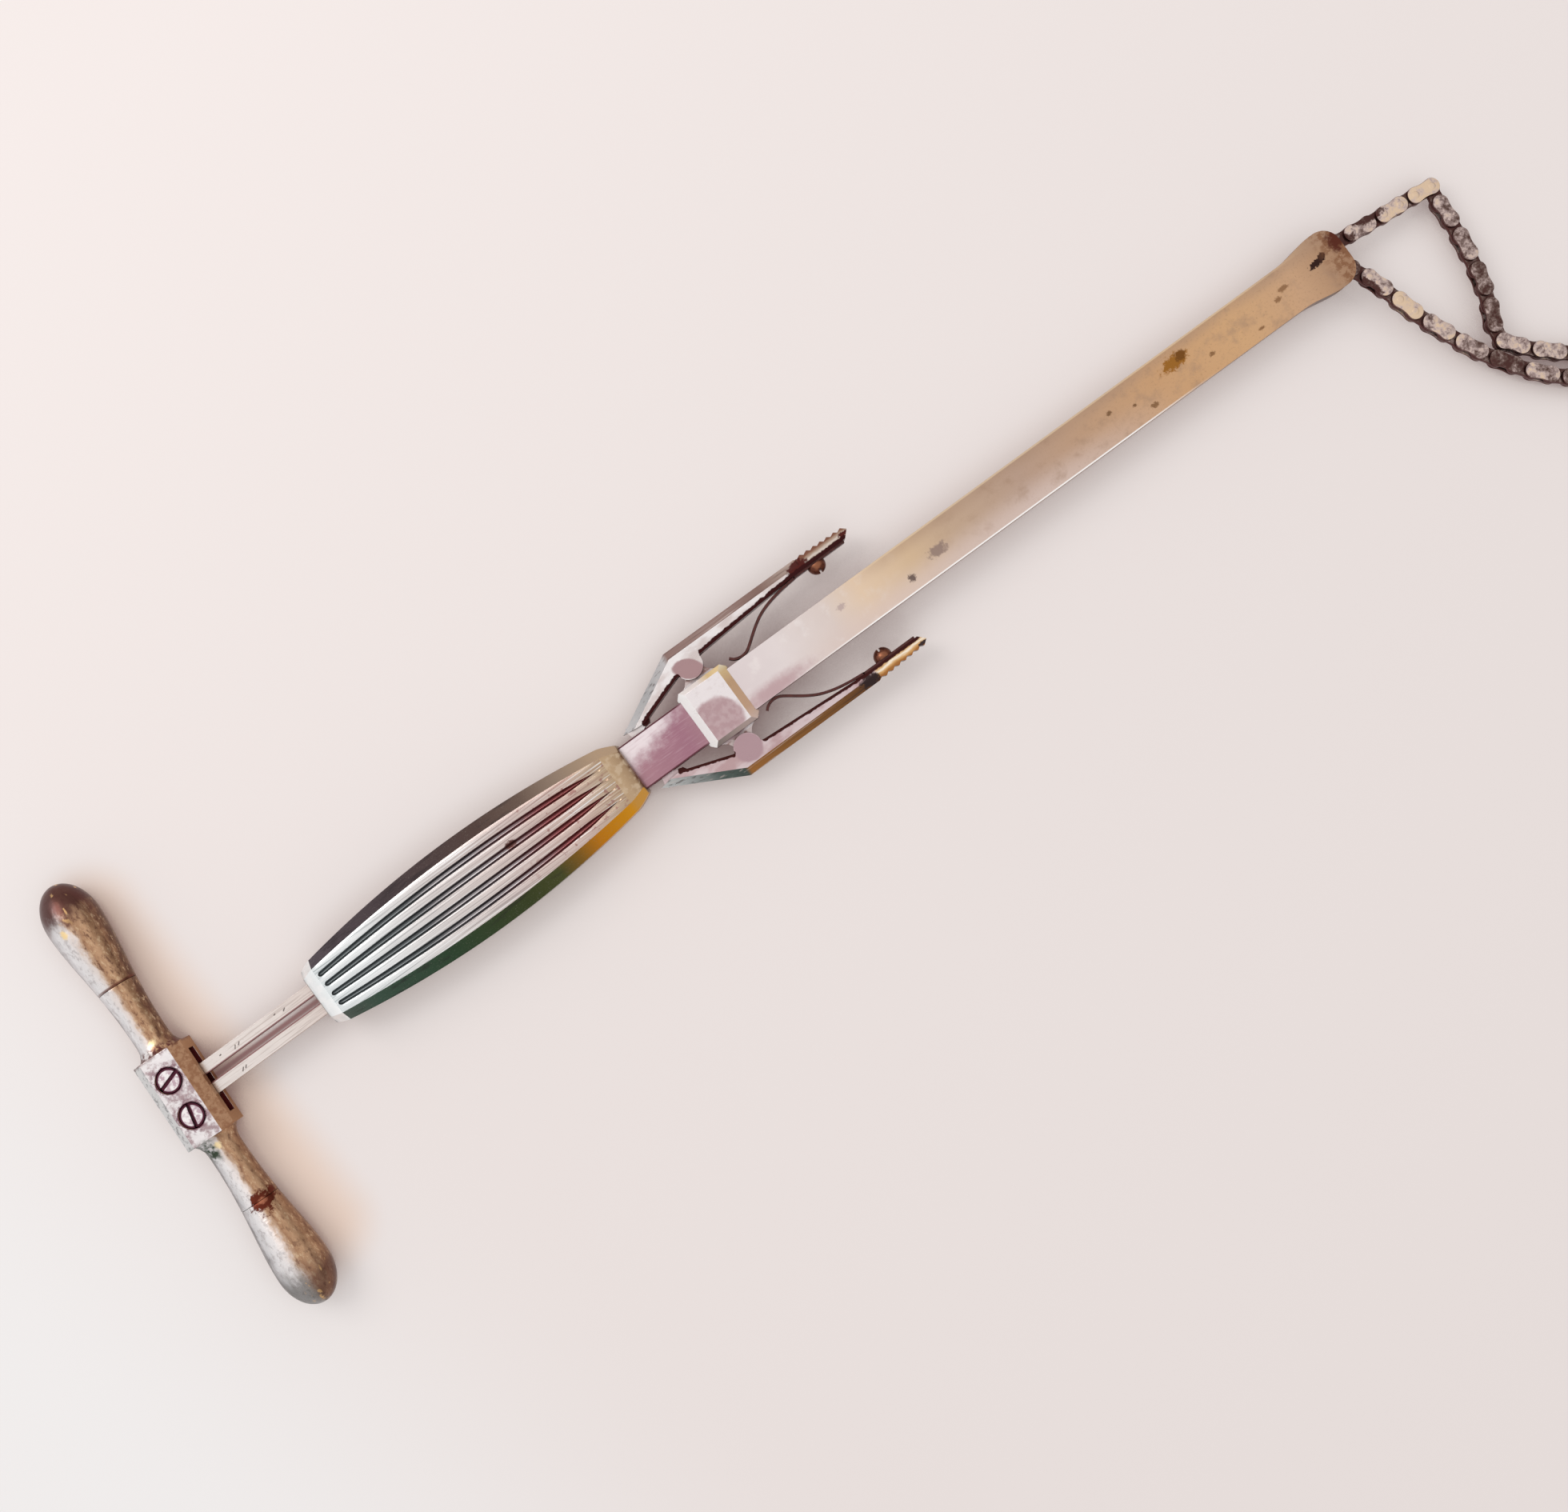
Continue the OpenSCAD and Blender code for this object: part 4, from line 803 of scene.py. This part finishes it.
def yoke_paint():
    p = Paint("yoke_worn_nickel")
    u, v, w = handle_frame(p)
    cloud = p.noise(1.3, detail=5, rough=0.65, seed=5)
    stain = p.noise(2.6, detail=5, rough=0.6, seed=15)
    p.base = p.mix((234, 229, 230), (172, 150, 154), p.step(stain, 0.44, 0.62))
    crack = p.step(p.noise(0.9, detail=5, rough=0.7, seed=8), 0.48, 0.6)
    for at in PIVOTS:
        far = p.plus(p.radius(at), p.times(p.minus(p.noise(1.6, detail=3, seed=9), 0.5), 0.5))
        p.coat((124, 84, 98), crack, p.step(far, 5.2, 3.5), 0.7)
        p.coat((84, 38, 54), p.step(far, PIVOT_HEAD_R + 0.6, PIVOT_HEAD_R + 0.3))
    leaning = p.step(p.nz, 0.93, 0.8)
    gold = p.mix((204, 160, 126), (178, 130, 98), p.step(cloud, 0.4, 0.6))
    p.coat(gold, leaning, p.step(p.nx, 0.25, 0.4))
    p.coat(p.mix((214, 216, 216), (150, 150, 152), p.step(cloud, 0.48, 0.66)),
           leaning, p.step(p.nx, -0.25, -0.4))
    # Painted shade: the steep walls are darker copies of the silver and tan
    steep = p.step(p.nz, 0.4, 0.15)
    p.coat(p.mix((140, 136, 134), (168, 122, 78), p.step(u, -1, 2)), steep)
    arm = p.step(p.calc("ABSOLUTE", v), YOKE_Y / 2 - 0.05, YOKE_Y / 2 + 0.05)
    block = p.base
    turned_tone(p, u, v, w)
    p.base = p.mix(block, p.base, arm)
    foot = p.step(p.noise(1.1, seed=14), 0.7, 0.35)
    p.coat((62, 74, 60), p.band(v, -17, -11.6, 1.2), p.step(u, 0.6, -0.8), foot)
    p.coat((104, 62, 58), p.band(v, 11.4, 13.4, 0.7), p.step(cloud, 0.4, 0.55))
    # Painted shade: the inside of the slot is dark maroon and less metallic
    slot_shade = p.times(p.step(p.calc("ABSOLUTE", w), YOKE_SLOT_H / 2 + 0.25, YOKE_SLOT_H / 2 + 0.1),
                     p.step(p.calc("ABSOLUTE", v), YOKE_SLOT_Y / 2 + 0.25, YOKE_SLOT_Y / 2 + 0.1),
                     p.step(u, 6.45, 6.35))
    p.coat((92, 28, 28), slot_shade)
    p.set(p.shader.inputs["Metallic"], p.minus(METAL, p.times(slot_shade, 0.8)))
    # Painted shade in corners and gaps between parts
    p.coat((70, 36, 32), p.crevice_shade(1.2), 0.7)
    return p.finish(rough=0.32, spread=0.12, bump=0.06, grain=0.6, scratch=0.3)


handle_metal = handle_paint()
yoke_metal = yoke_paint()


def arm_radius(v):
    if v < NECK_Y:
        return NECK_D / 2 + (FOOT_R - NECK_D / 2) * ((NECK_Y - v) / (NECK_Y - YOKE_Y / 2)) ** 3
    if v < BULB_Y:
        return NECK_D / 2 + (BULB_D - NECK_D) / 2 * ease(((v - NECK_Y) / (BULB_Y - NECK_Y)) ** 1.25)
    return BULB_D / 2 * math.sqrt(max(0, 1 - ((v - BULB_Y) / (HANDLE_LEN / 2 - BULB_Y)) ** 2))


def lathe(profile, turn, count=72):
    """Turns (radius, v) points round the handle's own axis and puts them at the resting angle."""
    bm = bmesh.new()
    rings = []
    for radius, v in profile:
        if radius < 1e-4:
            rings.append([bm.verts.new((0, v * MM, 0))])
        else:
            rings.append([bm.verts.new((radius * math.cos(a) * MM, v * MM, radius * math.sin(a) * MM))
                          for a in (2 * math.pi * i / count for i in range(count))])
    for a, b in zip(rings, rings[1:]):
        for i in range(count):
            j = (i + 1) % count
            if len(a) == 1:
                bm.faces.new((a[0], b[j], b[i]))
            elif len(b) == 1:
                bm.faces.new((a[i], a[j], b[0]))
            else:
                bm.faces.new((a[i], a[j], b[j], b[i]))
    bmesh.ops.recalc_face_normals(bm, faces=bm.faces)
    bm.transform(Matrix.Translation((HANDLE_X * MM, 0, AXIS_Z * MM)) @ Matrix.Rotation(turn, 4, "Z"))
    return bm


SPIGOT_R, SPIGOT_LEN = 2.45, 8.3
INSIDE = 0.996
for side, turn in (("left", -ROCK), ("right", math.pi - ROCK)):
    start = SEAM_Y + 0.05
    rim = arm_radius(start) * INSIDE
    bulb = [(0, start + SPIGOT_LEN), (SPIGOT_R, start + SPIGOT_LEN), (SPIGOT_R, start), (rim - 0.12, start),
            (rim - 0.04, start + 0.05), (rim, start + 0.15)]
    bulb += [(arm_radius(v) * INSIDE, v) for v in steps(start + 0.8, BULB_Y, 26)]
    bulb += [(BULB_D / 2 * INSIDE * math.cos(a), BULB_Y + (HANDLE_LEN / 2 - BULB_Y) * math.sin(a))
             for a in steps(0.06, math.pi / 2 - 0.06, 22)] + [(0, HANDLE_LEN / 2)]
    piece = make_object(f"handle_{side}_bulb_turned", lathe(bulb, turn), [handle_metal], sharp=50)
    stand_for(piece, f"handle_bulb_{side}", "handle")
dress("handle_yoke", yoke_metal, bevel=0.3)


# Screws
def pivot_paint():
    p = Paint("pivot_screw_steel")
    cloud = p.noise(1.1, seed=2)
    p.base = p.mix((244, 240, 240), (196, 172, 182), p.step(cloud, 0.42, 0.6))
    # Painted shade: the slots, a ring at each head's rim and the heads' sides are darkened
    dirt_and_shade = (80, 34, 50)
    for (x, y), turn in zip(PIVOTS, SLOT_TURNS):
        run = Vector((math.cos(turn), math.sin(turn))) * PIVOT_HEAD_R
        slot = p.line((x - run.x, y - run.y), (x + run.x, y + run.y), 0.95, soft=0.14, wobble=0.25)
        p.coat(dirt_and_shade, slot)
    near = p.calc("MINIMUM", p.radius(PIVOTS[0]), p.radius(PIVOTS[1]))
    p.coat(dirt_and_shade, p.step(near, PIVOT_HEAD_R - 0.6, PIVOT_HEAD_R - 0.35))
    p.coat(dirt_and_shade, p.step(p.nz, 0.7, 0.3))
    return p.finish(bump=0.04, scratch=0.3)


pivot_metal = pivot_paint()
for name in ("pivot_screw_left", "pivot_screw_right"):
    dress(name, pivot_metal, bevel=0.18)


def spring_paint(name, tones):
    p = Paint(name, metallic=0.75)
    p.base = p.mix(tones[0], tones[1], p.step(p.noise(1.0, seed=2), 0.42, 0.62))
    # Painted highlight: upward faces are lightened towards the third tone
    top = p.step(p.nz, 0.8, 0.95)
    p.coat(tones[2], top, 0.25)
    return p.finish(rough=0.36, spread=0.12, bump=0.04)


# The third tone of each is a painted highlight on the upward faces
spring_metal = spring_paint("spring_dark_steel", ((78, 38, 38), (56, 28, 30), (120, 80, 72)))
dome_metal = spring_paint("dome_brown_steel", ((122, 72, 54), (84, 44, 36), (190, 130, 90)))
for name in ("spring_screw_left", "spring_screw_right"):
    dress(name, dome_metal, bevel=0.15)

# Leaf springs: a smooth bent strip from its foot beside the sheath to its seat on the lever
LEAF_T, LEAF_W, LONG_ARM, SEAT_LEN, SEAT_Y = 0.5, 3.6, 49.2, 16.5, 2.35
LEAF_SEAT = (LONG_ARM - SEAT_LEN + 1, SEAT_Y - LEAF_T / 2)
LEAF_END_X = LONG_ARM - 2.2
LEAF_FOOT = (12.0, SHEATH_W / 2 + 0.2 + LEAF_T / 2 - PAWL_Y)
LEAF_HOOK = ((-3.3, 1.3), (-2.4, 0.5), (-1.2, 0.05), (0, 0))
LEAF_RISE = ((0.055, 0.04), (0.12, 0.155), (0.2, 0.32), (0.3, 0.515), (0.42, 0.7), (0.57, 0.84), (0.74, 0.93),
             (0.93, 0.985), (1, 1))


def leaf_line():
    points = [Vector((LEAF_FOOT[0] + a, LEAF_FOOT[1] + b)) for a, b in LEAF_HOOK]
    points += [Vector((LEAF_FOOT[0] + a * (LEAF_SEAT[0] - LEAF_FOOT[0]),
                       LEAF_FOOT[1] + b * (LEAF_SEAT[1] - LEAF_FOOT[1]))) for a, b in LEAF_RISE]
    points.append(Vector((LEAF_END_X, LEAF_SEAT[1])))
    return points


def rounded(points, per_span=6):
    """A smooth curve through the points."""
    ends = [points[0] * 2 - points[1]] + points + [points[-1] * 2 - points[-2]]
    out = []
    for a, b, c, d in zip(ends, ends[1:], ends[2:], ends[3:]):
        for i in range(per_span):
            t = i / per_span
            out.append(0.5 * (2 * b + (c - a) * t + (2 * a - 5 * b + 4 * c - d) * t * t
                              + (3 * b - a - 3 * c + d) * t ** 3))
    return out + [points[-1]]


def skin(bm, rings):
    """Faces from ring to ring of vertices, with both ends closed."""
    count = len(rings[0])
    for a, b in zip(rings, rings[1:]):
        for k in range(count):
            bm.faces.new((a[k], a[(k + 1) % count], b[(k + 1) % count], b[k]))
    bm.faces.new(rings[0][::-1])
    bm.faces.new(rings[-1])


def strip(line, side, half_t, half_w, edge):
    """A flat strip with rounded edges along a line in plan."""
    bm = bmesh.new()
    corner = edge * 0.4
    low = [(-half_t, -half_w + edge), (-half_t + corner, -half_w + corner * 0.5),
           (half_t - corner, -half_w + corner * 0.5), (half_t, -half_w + edge)]
    section = low + [(-a, -b) for a, b in low]
    rings = []
    for i, point in enumerate(line):
        way = (line[min(i + 1, len(line) - 1)] - line[max(i - 1, 0)]).normalized()
        out = Vector((-way.y, way.x))
        rings.append([bm.verts.new(((PAWL_X + point.x + out.x * a) * MM,
                                    side * (PAWL_Y + point.y + out.y * a) * MM, (AXIS_Z + b) * MM))
                      for a, b in section])
    skin(bm, rings)
    bmesh.ops.recalc_face_normals(bm, faces=bm.faces)
    return bm


for side_name, side in (("left", 1), ("right", -1)):
    leaf = strip(rounded(leaf_line()), side, LEAF_T * 0.66, LEAF_W / 2, 0.14)
    piece = make_object(f"leaf_{side_name}_strip", leaf, [spring_metal], sharp=40)
    stand_for(piece, f"leaf_spring_{side_name}")
    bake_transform(piece)

# Chain: the same walk as in the CAD, with figure-of-eight plates, drawn-in waists and domed rivets
PITCH, PLATE_R, OUTER_T, INNER_T, PLATE_GAP, RIVET_R = 4.56, 1.85, 0.7, 1.2, 0.1, 0.8
WIDE_R, WAIST_CUT = 2.03, 0.3
CHAIN_HALF = INNER_T / 2 + PLATE_GAP + OUTER_T
ROOT_X, LANE_Y, TABLE_GAP = 249.3, 2.65, 0.05
UNIT = 4
LEFT_TURNS = (-2, -5, -6, -5, -4, -5, -6, -98, -92, -96, -98, -101, -104, -110, -116,
              -98, -50, -46, -42, -38, -37, -37, -37, -38, -39, -41, -48)
RIGHT_TURNS = (-26, -63, -70, -74, -73, -70, -66, -67, -63, -58, -55, -53, -47, -42,
               -40, -40, -39, -39, -39, -38, -37, -35)


def walk(start, turns):
    out = [Vector(start)]
    for turn in turns:
        a = math.radians(turn)
        out.append(out[-1] + PITCH * Vector((math.cos(a), math.sin(a))))
    return out


left_pins = walk((ROOT_X, LANE_Y), LEFT_TURNS)
right_pins = walk((ROOT_X, -LANE_Y), RIGHT_TURNS)
end_half = (left_pins[-1] - right_pins[-1]) / 2
end_rise = math.sqrt(PITCH ** 2 - end_half.length_squared)
apex = (left_pins[-1] + right_pins[-1]) / 2 + end_rise * Vector((end_half.y, -end_half.x)) / end_half.length
left_pins.append(apex)
right_pins.append(apex)
chain_reach = max(p.x for p in left_pins + right_pins) + PLATE_R - ROOT_X
DROOP = math.asin((AXIS_Z - CHAIN_HALF - TABLE_GAP) / chain_reach)
hang = (Matrix.Translation((ROOT_X * MM, 0, AXIS_Z * MM)) @ Matrix.Rotation(DROOP, 4, "Y")
        @ Matrix.Translation((-ROOT_X * MM, 0, -AXIS_Z * MM)))


def arc(x, y, r, angles):
    return [Vector((x + r * math.cos(a), y + r * math.sin(a))) for a in angles]


def plate_outline(r):
    """The outline of a plate from pin to pin along X: two round heads and two hollow waists."""
    w = r - WAIST_CUT
    half = PITCH / 2
    fillet = (half ** 2 + w ** 2 - r ** 2) / (2 * (r - w))
    reach = math.atan2(w + fillet, half)
    head = steps(reach, 2 * math.pi - reach, 14)
    waist = steps(math.pi - reach, reach, 6)[1:-1]
    return (arc(0, 0, r, head) + arc(half, -w - fillet, fillet, waist)
            + arc(PITCH, 0, r, [a + math.pi for a in head])
            + arc(half, w + fillet, fillet, [a - math.pi for a in waist]))


# How far a plate is drawn in at its face, and at two depths below it
PLATE_EDGE = ((0.3, 0), (0.09, 0.05), (0, 0.2))
WIDE_PLATE = [(plate_outline(WIDE_R - less), depth) for less, depth in PLATE_EDGE]
LAST_PLATE = [(plate_outline(PLATE_R - less), depth) for less, depth in PLATE_EDGE]
# How many plates at the end of each strand keep the narrower width
LAST_COUNT = 3
# A rivet's radii and their heights from the plates' top
RIVET_DOME = ((RIVET_R, -0.05), (0.9, -0.02), (0.82, 0.03), (0.4, 0.06))


def stack(bm, layers, tone, layer, place):
    """Closed skin over a list of (outline, height)."""
    rings = []
    for outline, z in layers:
        ring = [bm.verts.new(place @ Vector((point.x * MM, point.y * MM, z * MM))) for point in outline]
        for vert in ring:
            vert[layer] = tone
        rings.append(ring)
    skin(bm, rings)


def plate(bm, shape, place, z0, z1, tone, layer):
    layers = [(outline, z0 + depth) for outline, depth in shape]
    layers += [(outline, z1 - depth) for outline, depth in shape[::-1]]
    stack(bm, layers, tone, layer, place)


def rivet(bm, place, tone, layer):
    round_cut = steps(0, 2 * math.pi, 20)[:-1]
    layers = [(arc(0, 0, RIVET_R, round_cut), -CHAIN_HALF)]
    layers += [(arc(0, 0, radius, round_cut), CHAIN_HALF + rise) for radius, rise in RIVET_DOME]
    stack(bm, layers, tone, layer, place)


def chain_paint():
    p = Paint("chain_worn_nickel", metallic=0.8)
    tone = p.node("Attribute", attribute_name="tone").outputs["Fac"]
    big = p.noise(2.2, rough=0.6, seed=2)
    fine = p.noise(0.6, detail=3, rough=0.6, seed=3)
    level = p.plus(tone, p.shake(big, 2.0))
    level = p.plus(level, p.shake(fine, 0.8))
    for place, size, turn in STRAND_RUST:
        rust = p.blob(place, size, soft=0.25, wobble=0.8, turn=turn, seed=place[0])
        level = p.minus(level, p.times(rust, 0.7))
    p.base = p.ramp(level, [
        (0.0, 78, 48, 44), (0.2, 96, 74, 68), (0.36, 128, 108, 102), (0.52, 168, 148, 144),
        (0.7, 206, 186, 178), (1.0, 226, 200, 172)])
    # Painted shade: the plates' chamfers and side walls are darkened
    rim = p.step(p.nz, 0.97, 0.82)
    p.coat((92, 54, 52), rim, 0.7)
    wall = p.step(p.nz, 0.6, 0.2)
    p.coat((84, 42, 40), wall, 0.9)
    # Painted shade in corners and gaps between parts
    p.coat((64, 28, 26), p.crevice_shade(0.8), 0.9)
    return p.finish(rough=0.36, spread=0.14, bump=0.06, scratch=0.3)


# Darker patches on the first plates outside the mouth, each with its half lengths and its turn
STRAND_RUST = (((256.0, 1.2), (2.4, 1.8), 0), ((264.0, 3.0), (4.4, 1.3), -6),
               ((254.6, -10.6), (3.2, 0.9), -70))
chain_metal = chain_paint()
LEFT_TONES = (0.05, 0.66, 0.84, 1.0, 0.5, 0.5, 0.26, 0.32, 0.66, 0.64, 0.6, 0.5, 0.62, 0.5)
RIGHT_TONES = (0.2, 0.68, 0.95, 0.62, 0.6, 0.14, 0.58, 0.28, 0.6, 0.64, 0.5, 0.6)
# The middle plates are dark, as painted shade between the outer plates
INNER_SHADE_TONE = 0.1


def links(side, pins, tones, units):
    for n in range(1, units + 1):
        bm = bmesh.new()
        layer = bm.verts.layers.float.new("tone")
        for i in range((n - 1) * UNIT, min(n * UNIT, len(pins) - 1)):
            p, q = pins[i], pins[i + 1]
            turn = Matrix.Rotation(math.atan2(q.y - p.y, q.x - p.x), 4, "Z")
            here = hang @ Matrix.Translation((p.x * MM, p.y * MM, AXIS_Z * MM)) @ turn
            there = hang @ Matrix.Translation((q.x * MM, q.y * MM, AXIS_Z * MM)) @ turn
            shape = LAST_PLATE if i >= len(pins) - 1 - LAST_COUNT else WIDE_PLATE
            if i % 2:
                plate(bm, shape, here, -INNER_T / 2, INNER_T / 2, INNER_SHADE_TONE, layer)
                continue
            tone = tones[i // 2]
            plate(bm, shape, here, CHAIN_HALF - OUTER_T, CHAIN_HALF, tone, layer)
            plate(bm, shape, here, -CHAIN_HALF, -CHAIN_HALF + OUTER_T, tone, layer)
            if i > 0:
                rivet(bm, here, tone, layer)
            rivet(bm, there, tone, layer)
        piece = make_object(f"chain_{side}_{n}_links", bm, [chain_metal], sharp=45)
        stand_for(piece, f"chain_{side}_{n}", f"chain_{side}_{n}")


links("left", left_pins, LEFT_TONES, 7)
links("right", right_pins, RIGHT_TONES, 6)
for name in ("chain_tail_left", "chain_tail_right", "anchor_pin_left", "anchor_pin_right"):
    dress(name, hidden_metal, bevel=0.06)


# Floor, light and surroundings
def floor_paint():
    """A pale table. What the camera and the metal see of it glows a little, so that shadows stay light."""
    p = Paint("table_paint", metallic=0.0)
    right, up = p.turned(p.x, p.y, PHOTO_TURN)
    # Painted light: the table is a little brighter towards the window light, and more neutral towards the
    # lower left
    slope = p.minus(p.times(up, 0.7), p.times(right, 0.5))
    p.base = p.ramp(slope, [(-200, 232, 224, 222), (-60, 233, 225, 223), (60, 236, 228, 226),
        (180, 240, 232, 230)])
    p.coat((238, 236, 236), p.step(p.plus(up, right), -60, -240))
    # Painted light: a warm glow on the table beside the handle, for light bounced off its golden side
    handle_bounce_light = p.times(p.step(p.away((-79, -44), (-81, 48)), 16, 3), p.step(p.x, -96, -79), 0.7)
    p.coat((232, 204, 184), handle_bounce_light)
    # Painted shadow: a dark strip on the table under the gap between the rack bars
    p.coat((158, 112, 116), p.line((-80, 0), (-46, 0), 1.2, soft=0.4))
    shade = p.node("AmbientOcclusion", samples=8, Distance=12 * MM).outputs["AO"]
    p.coat((200, 178, 168), p.step(shade, 0.9, 0.5), 0.3)
    p.coat((140, 104, 102), p.step(shade, 0.5, 0.3), 0.8)
    p.set(p.shader.inputs["Base Color"], p.base)
    p.shader.inputs["Roughness"].default_value = 0.6
    p.shader.inputs["Specular IOR Level"].default_value = 0.25
    path = p.node("LightPath")
    seen = p.calc("MAXIMUM", path.outputs["Is Camera Ray"], path.outputs["Is Glossy Ray"])
    seen = p.calc("MAXIMUM", seen, path.outputs["Is Transmission Ray"])
    glow = p.node("Emission", p.base, Strength=1.0)
    blend = p.node("MixShader", p.times(seen, FLOOR_GLOW), p.shader.outputs[0], glow.outputs[0])
    p.tree.links.new(blend.outputs[0], p.tree.nodes["Material Output"].inputs["Surface"])
    return p.material


FLOOR_GLOW = 0.42
bm = bmesh.new()
bmesh.ops.create_grid(bm, x_segments=2, y_segments=2, size=3.0)
make_object("table_top", bm, [floor_paint()])

world = bpy.data.worlds.new("room")
scene.world = world
world.use_nodes = True
sky = Nodes(world.node_tree)
direction = sky.node("TexCoord").outputs["Generated"]
height = sky.node("SeparateXYZ", direction).outputs["Z"]
# The sky by height, in linear colours: the window's side has a bright horizon and the other a dark one
HIGH_SKY = ((0.75, (0.98, 0.96, 0.95, 1)), (1.0, (1.0, 0.98, 0.97, 1)))
ROOM_SKY = ((0.0, (0.46, 0.43, 0.42, 1)), (0.35, (0.64, 0.61, 0.60, 1))) + HIGH_SKY
WINDOW_SKY = ((0.0, (1.0, 0.98, 0.97, 1)), (0.35, (0.86, 0.83, 0.82, 1))) + HIGH_SKY
room, window = (sky.blend_stops(height, stops) for stops in (ROOM_SKY, WINDOW_SKY))
facing = sky.node("VectorMath", direction, (-0.75, 0.66, 0), operation="DOT_PRODUCT")
towards = sky.node("MapRange", facing.outputs["Value"], -0.6, 0.6).outputs[0]
background = sky.tree.nodes["Background"]
sky.set(background.inputs["Color"], sky.mix(room, window, towards))
sky.set(background.inputs["Strength"], 0.9)

lamp_data = bpy.data.lights.new("window_light", "AREA")
lamp_data.shape = "DISK"
lamp_data.size = 0.7
lamp_data.energy = 3.6
lamp_data.color = (1.0, 0.97, 0.94)
lamp = bpy.data.objects.new("window_light", lamp_data)
lamp.location = (-0.30, 0.62, 0.80)
aim = Vector((0.08, -0.02, 0)) - lamp.location
lamp.rotation_euler = aim.to_track_quat("-Z", "Y").to_euler()
scene.collection.objects.link(lamp)
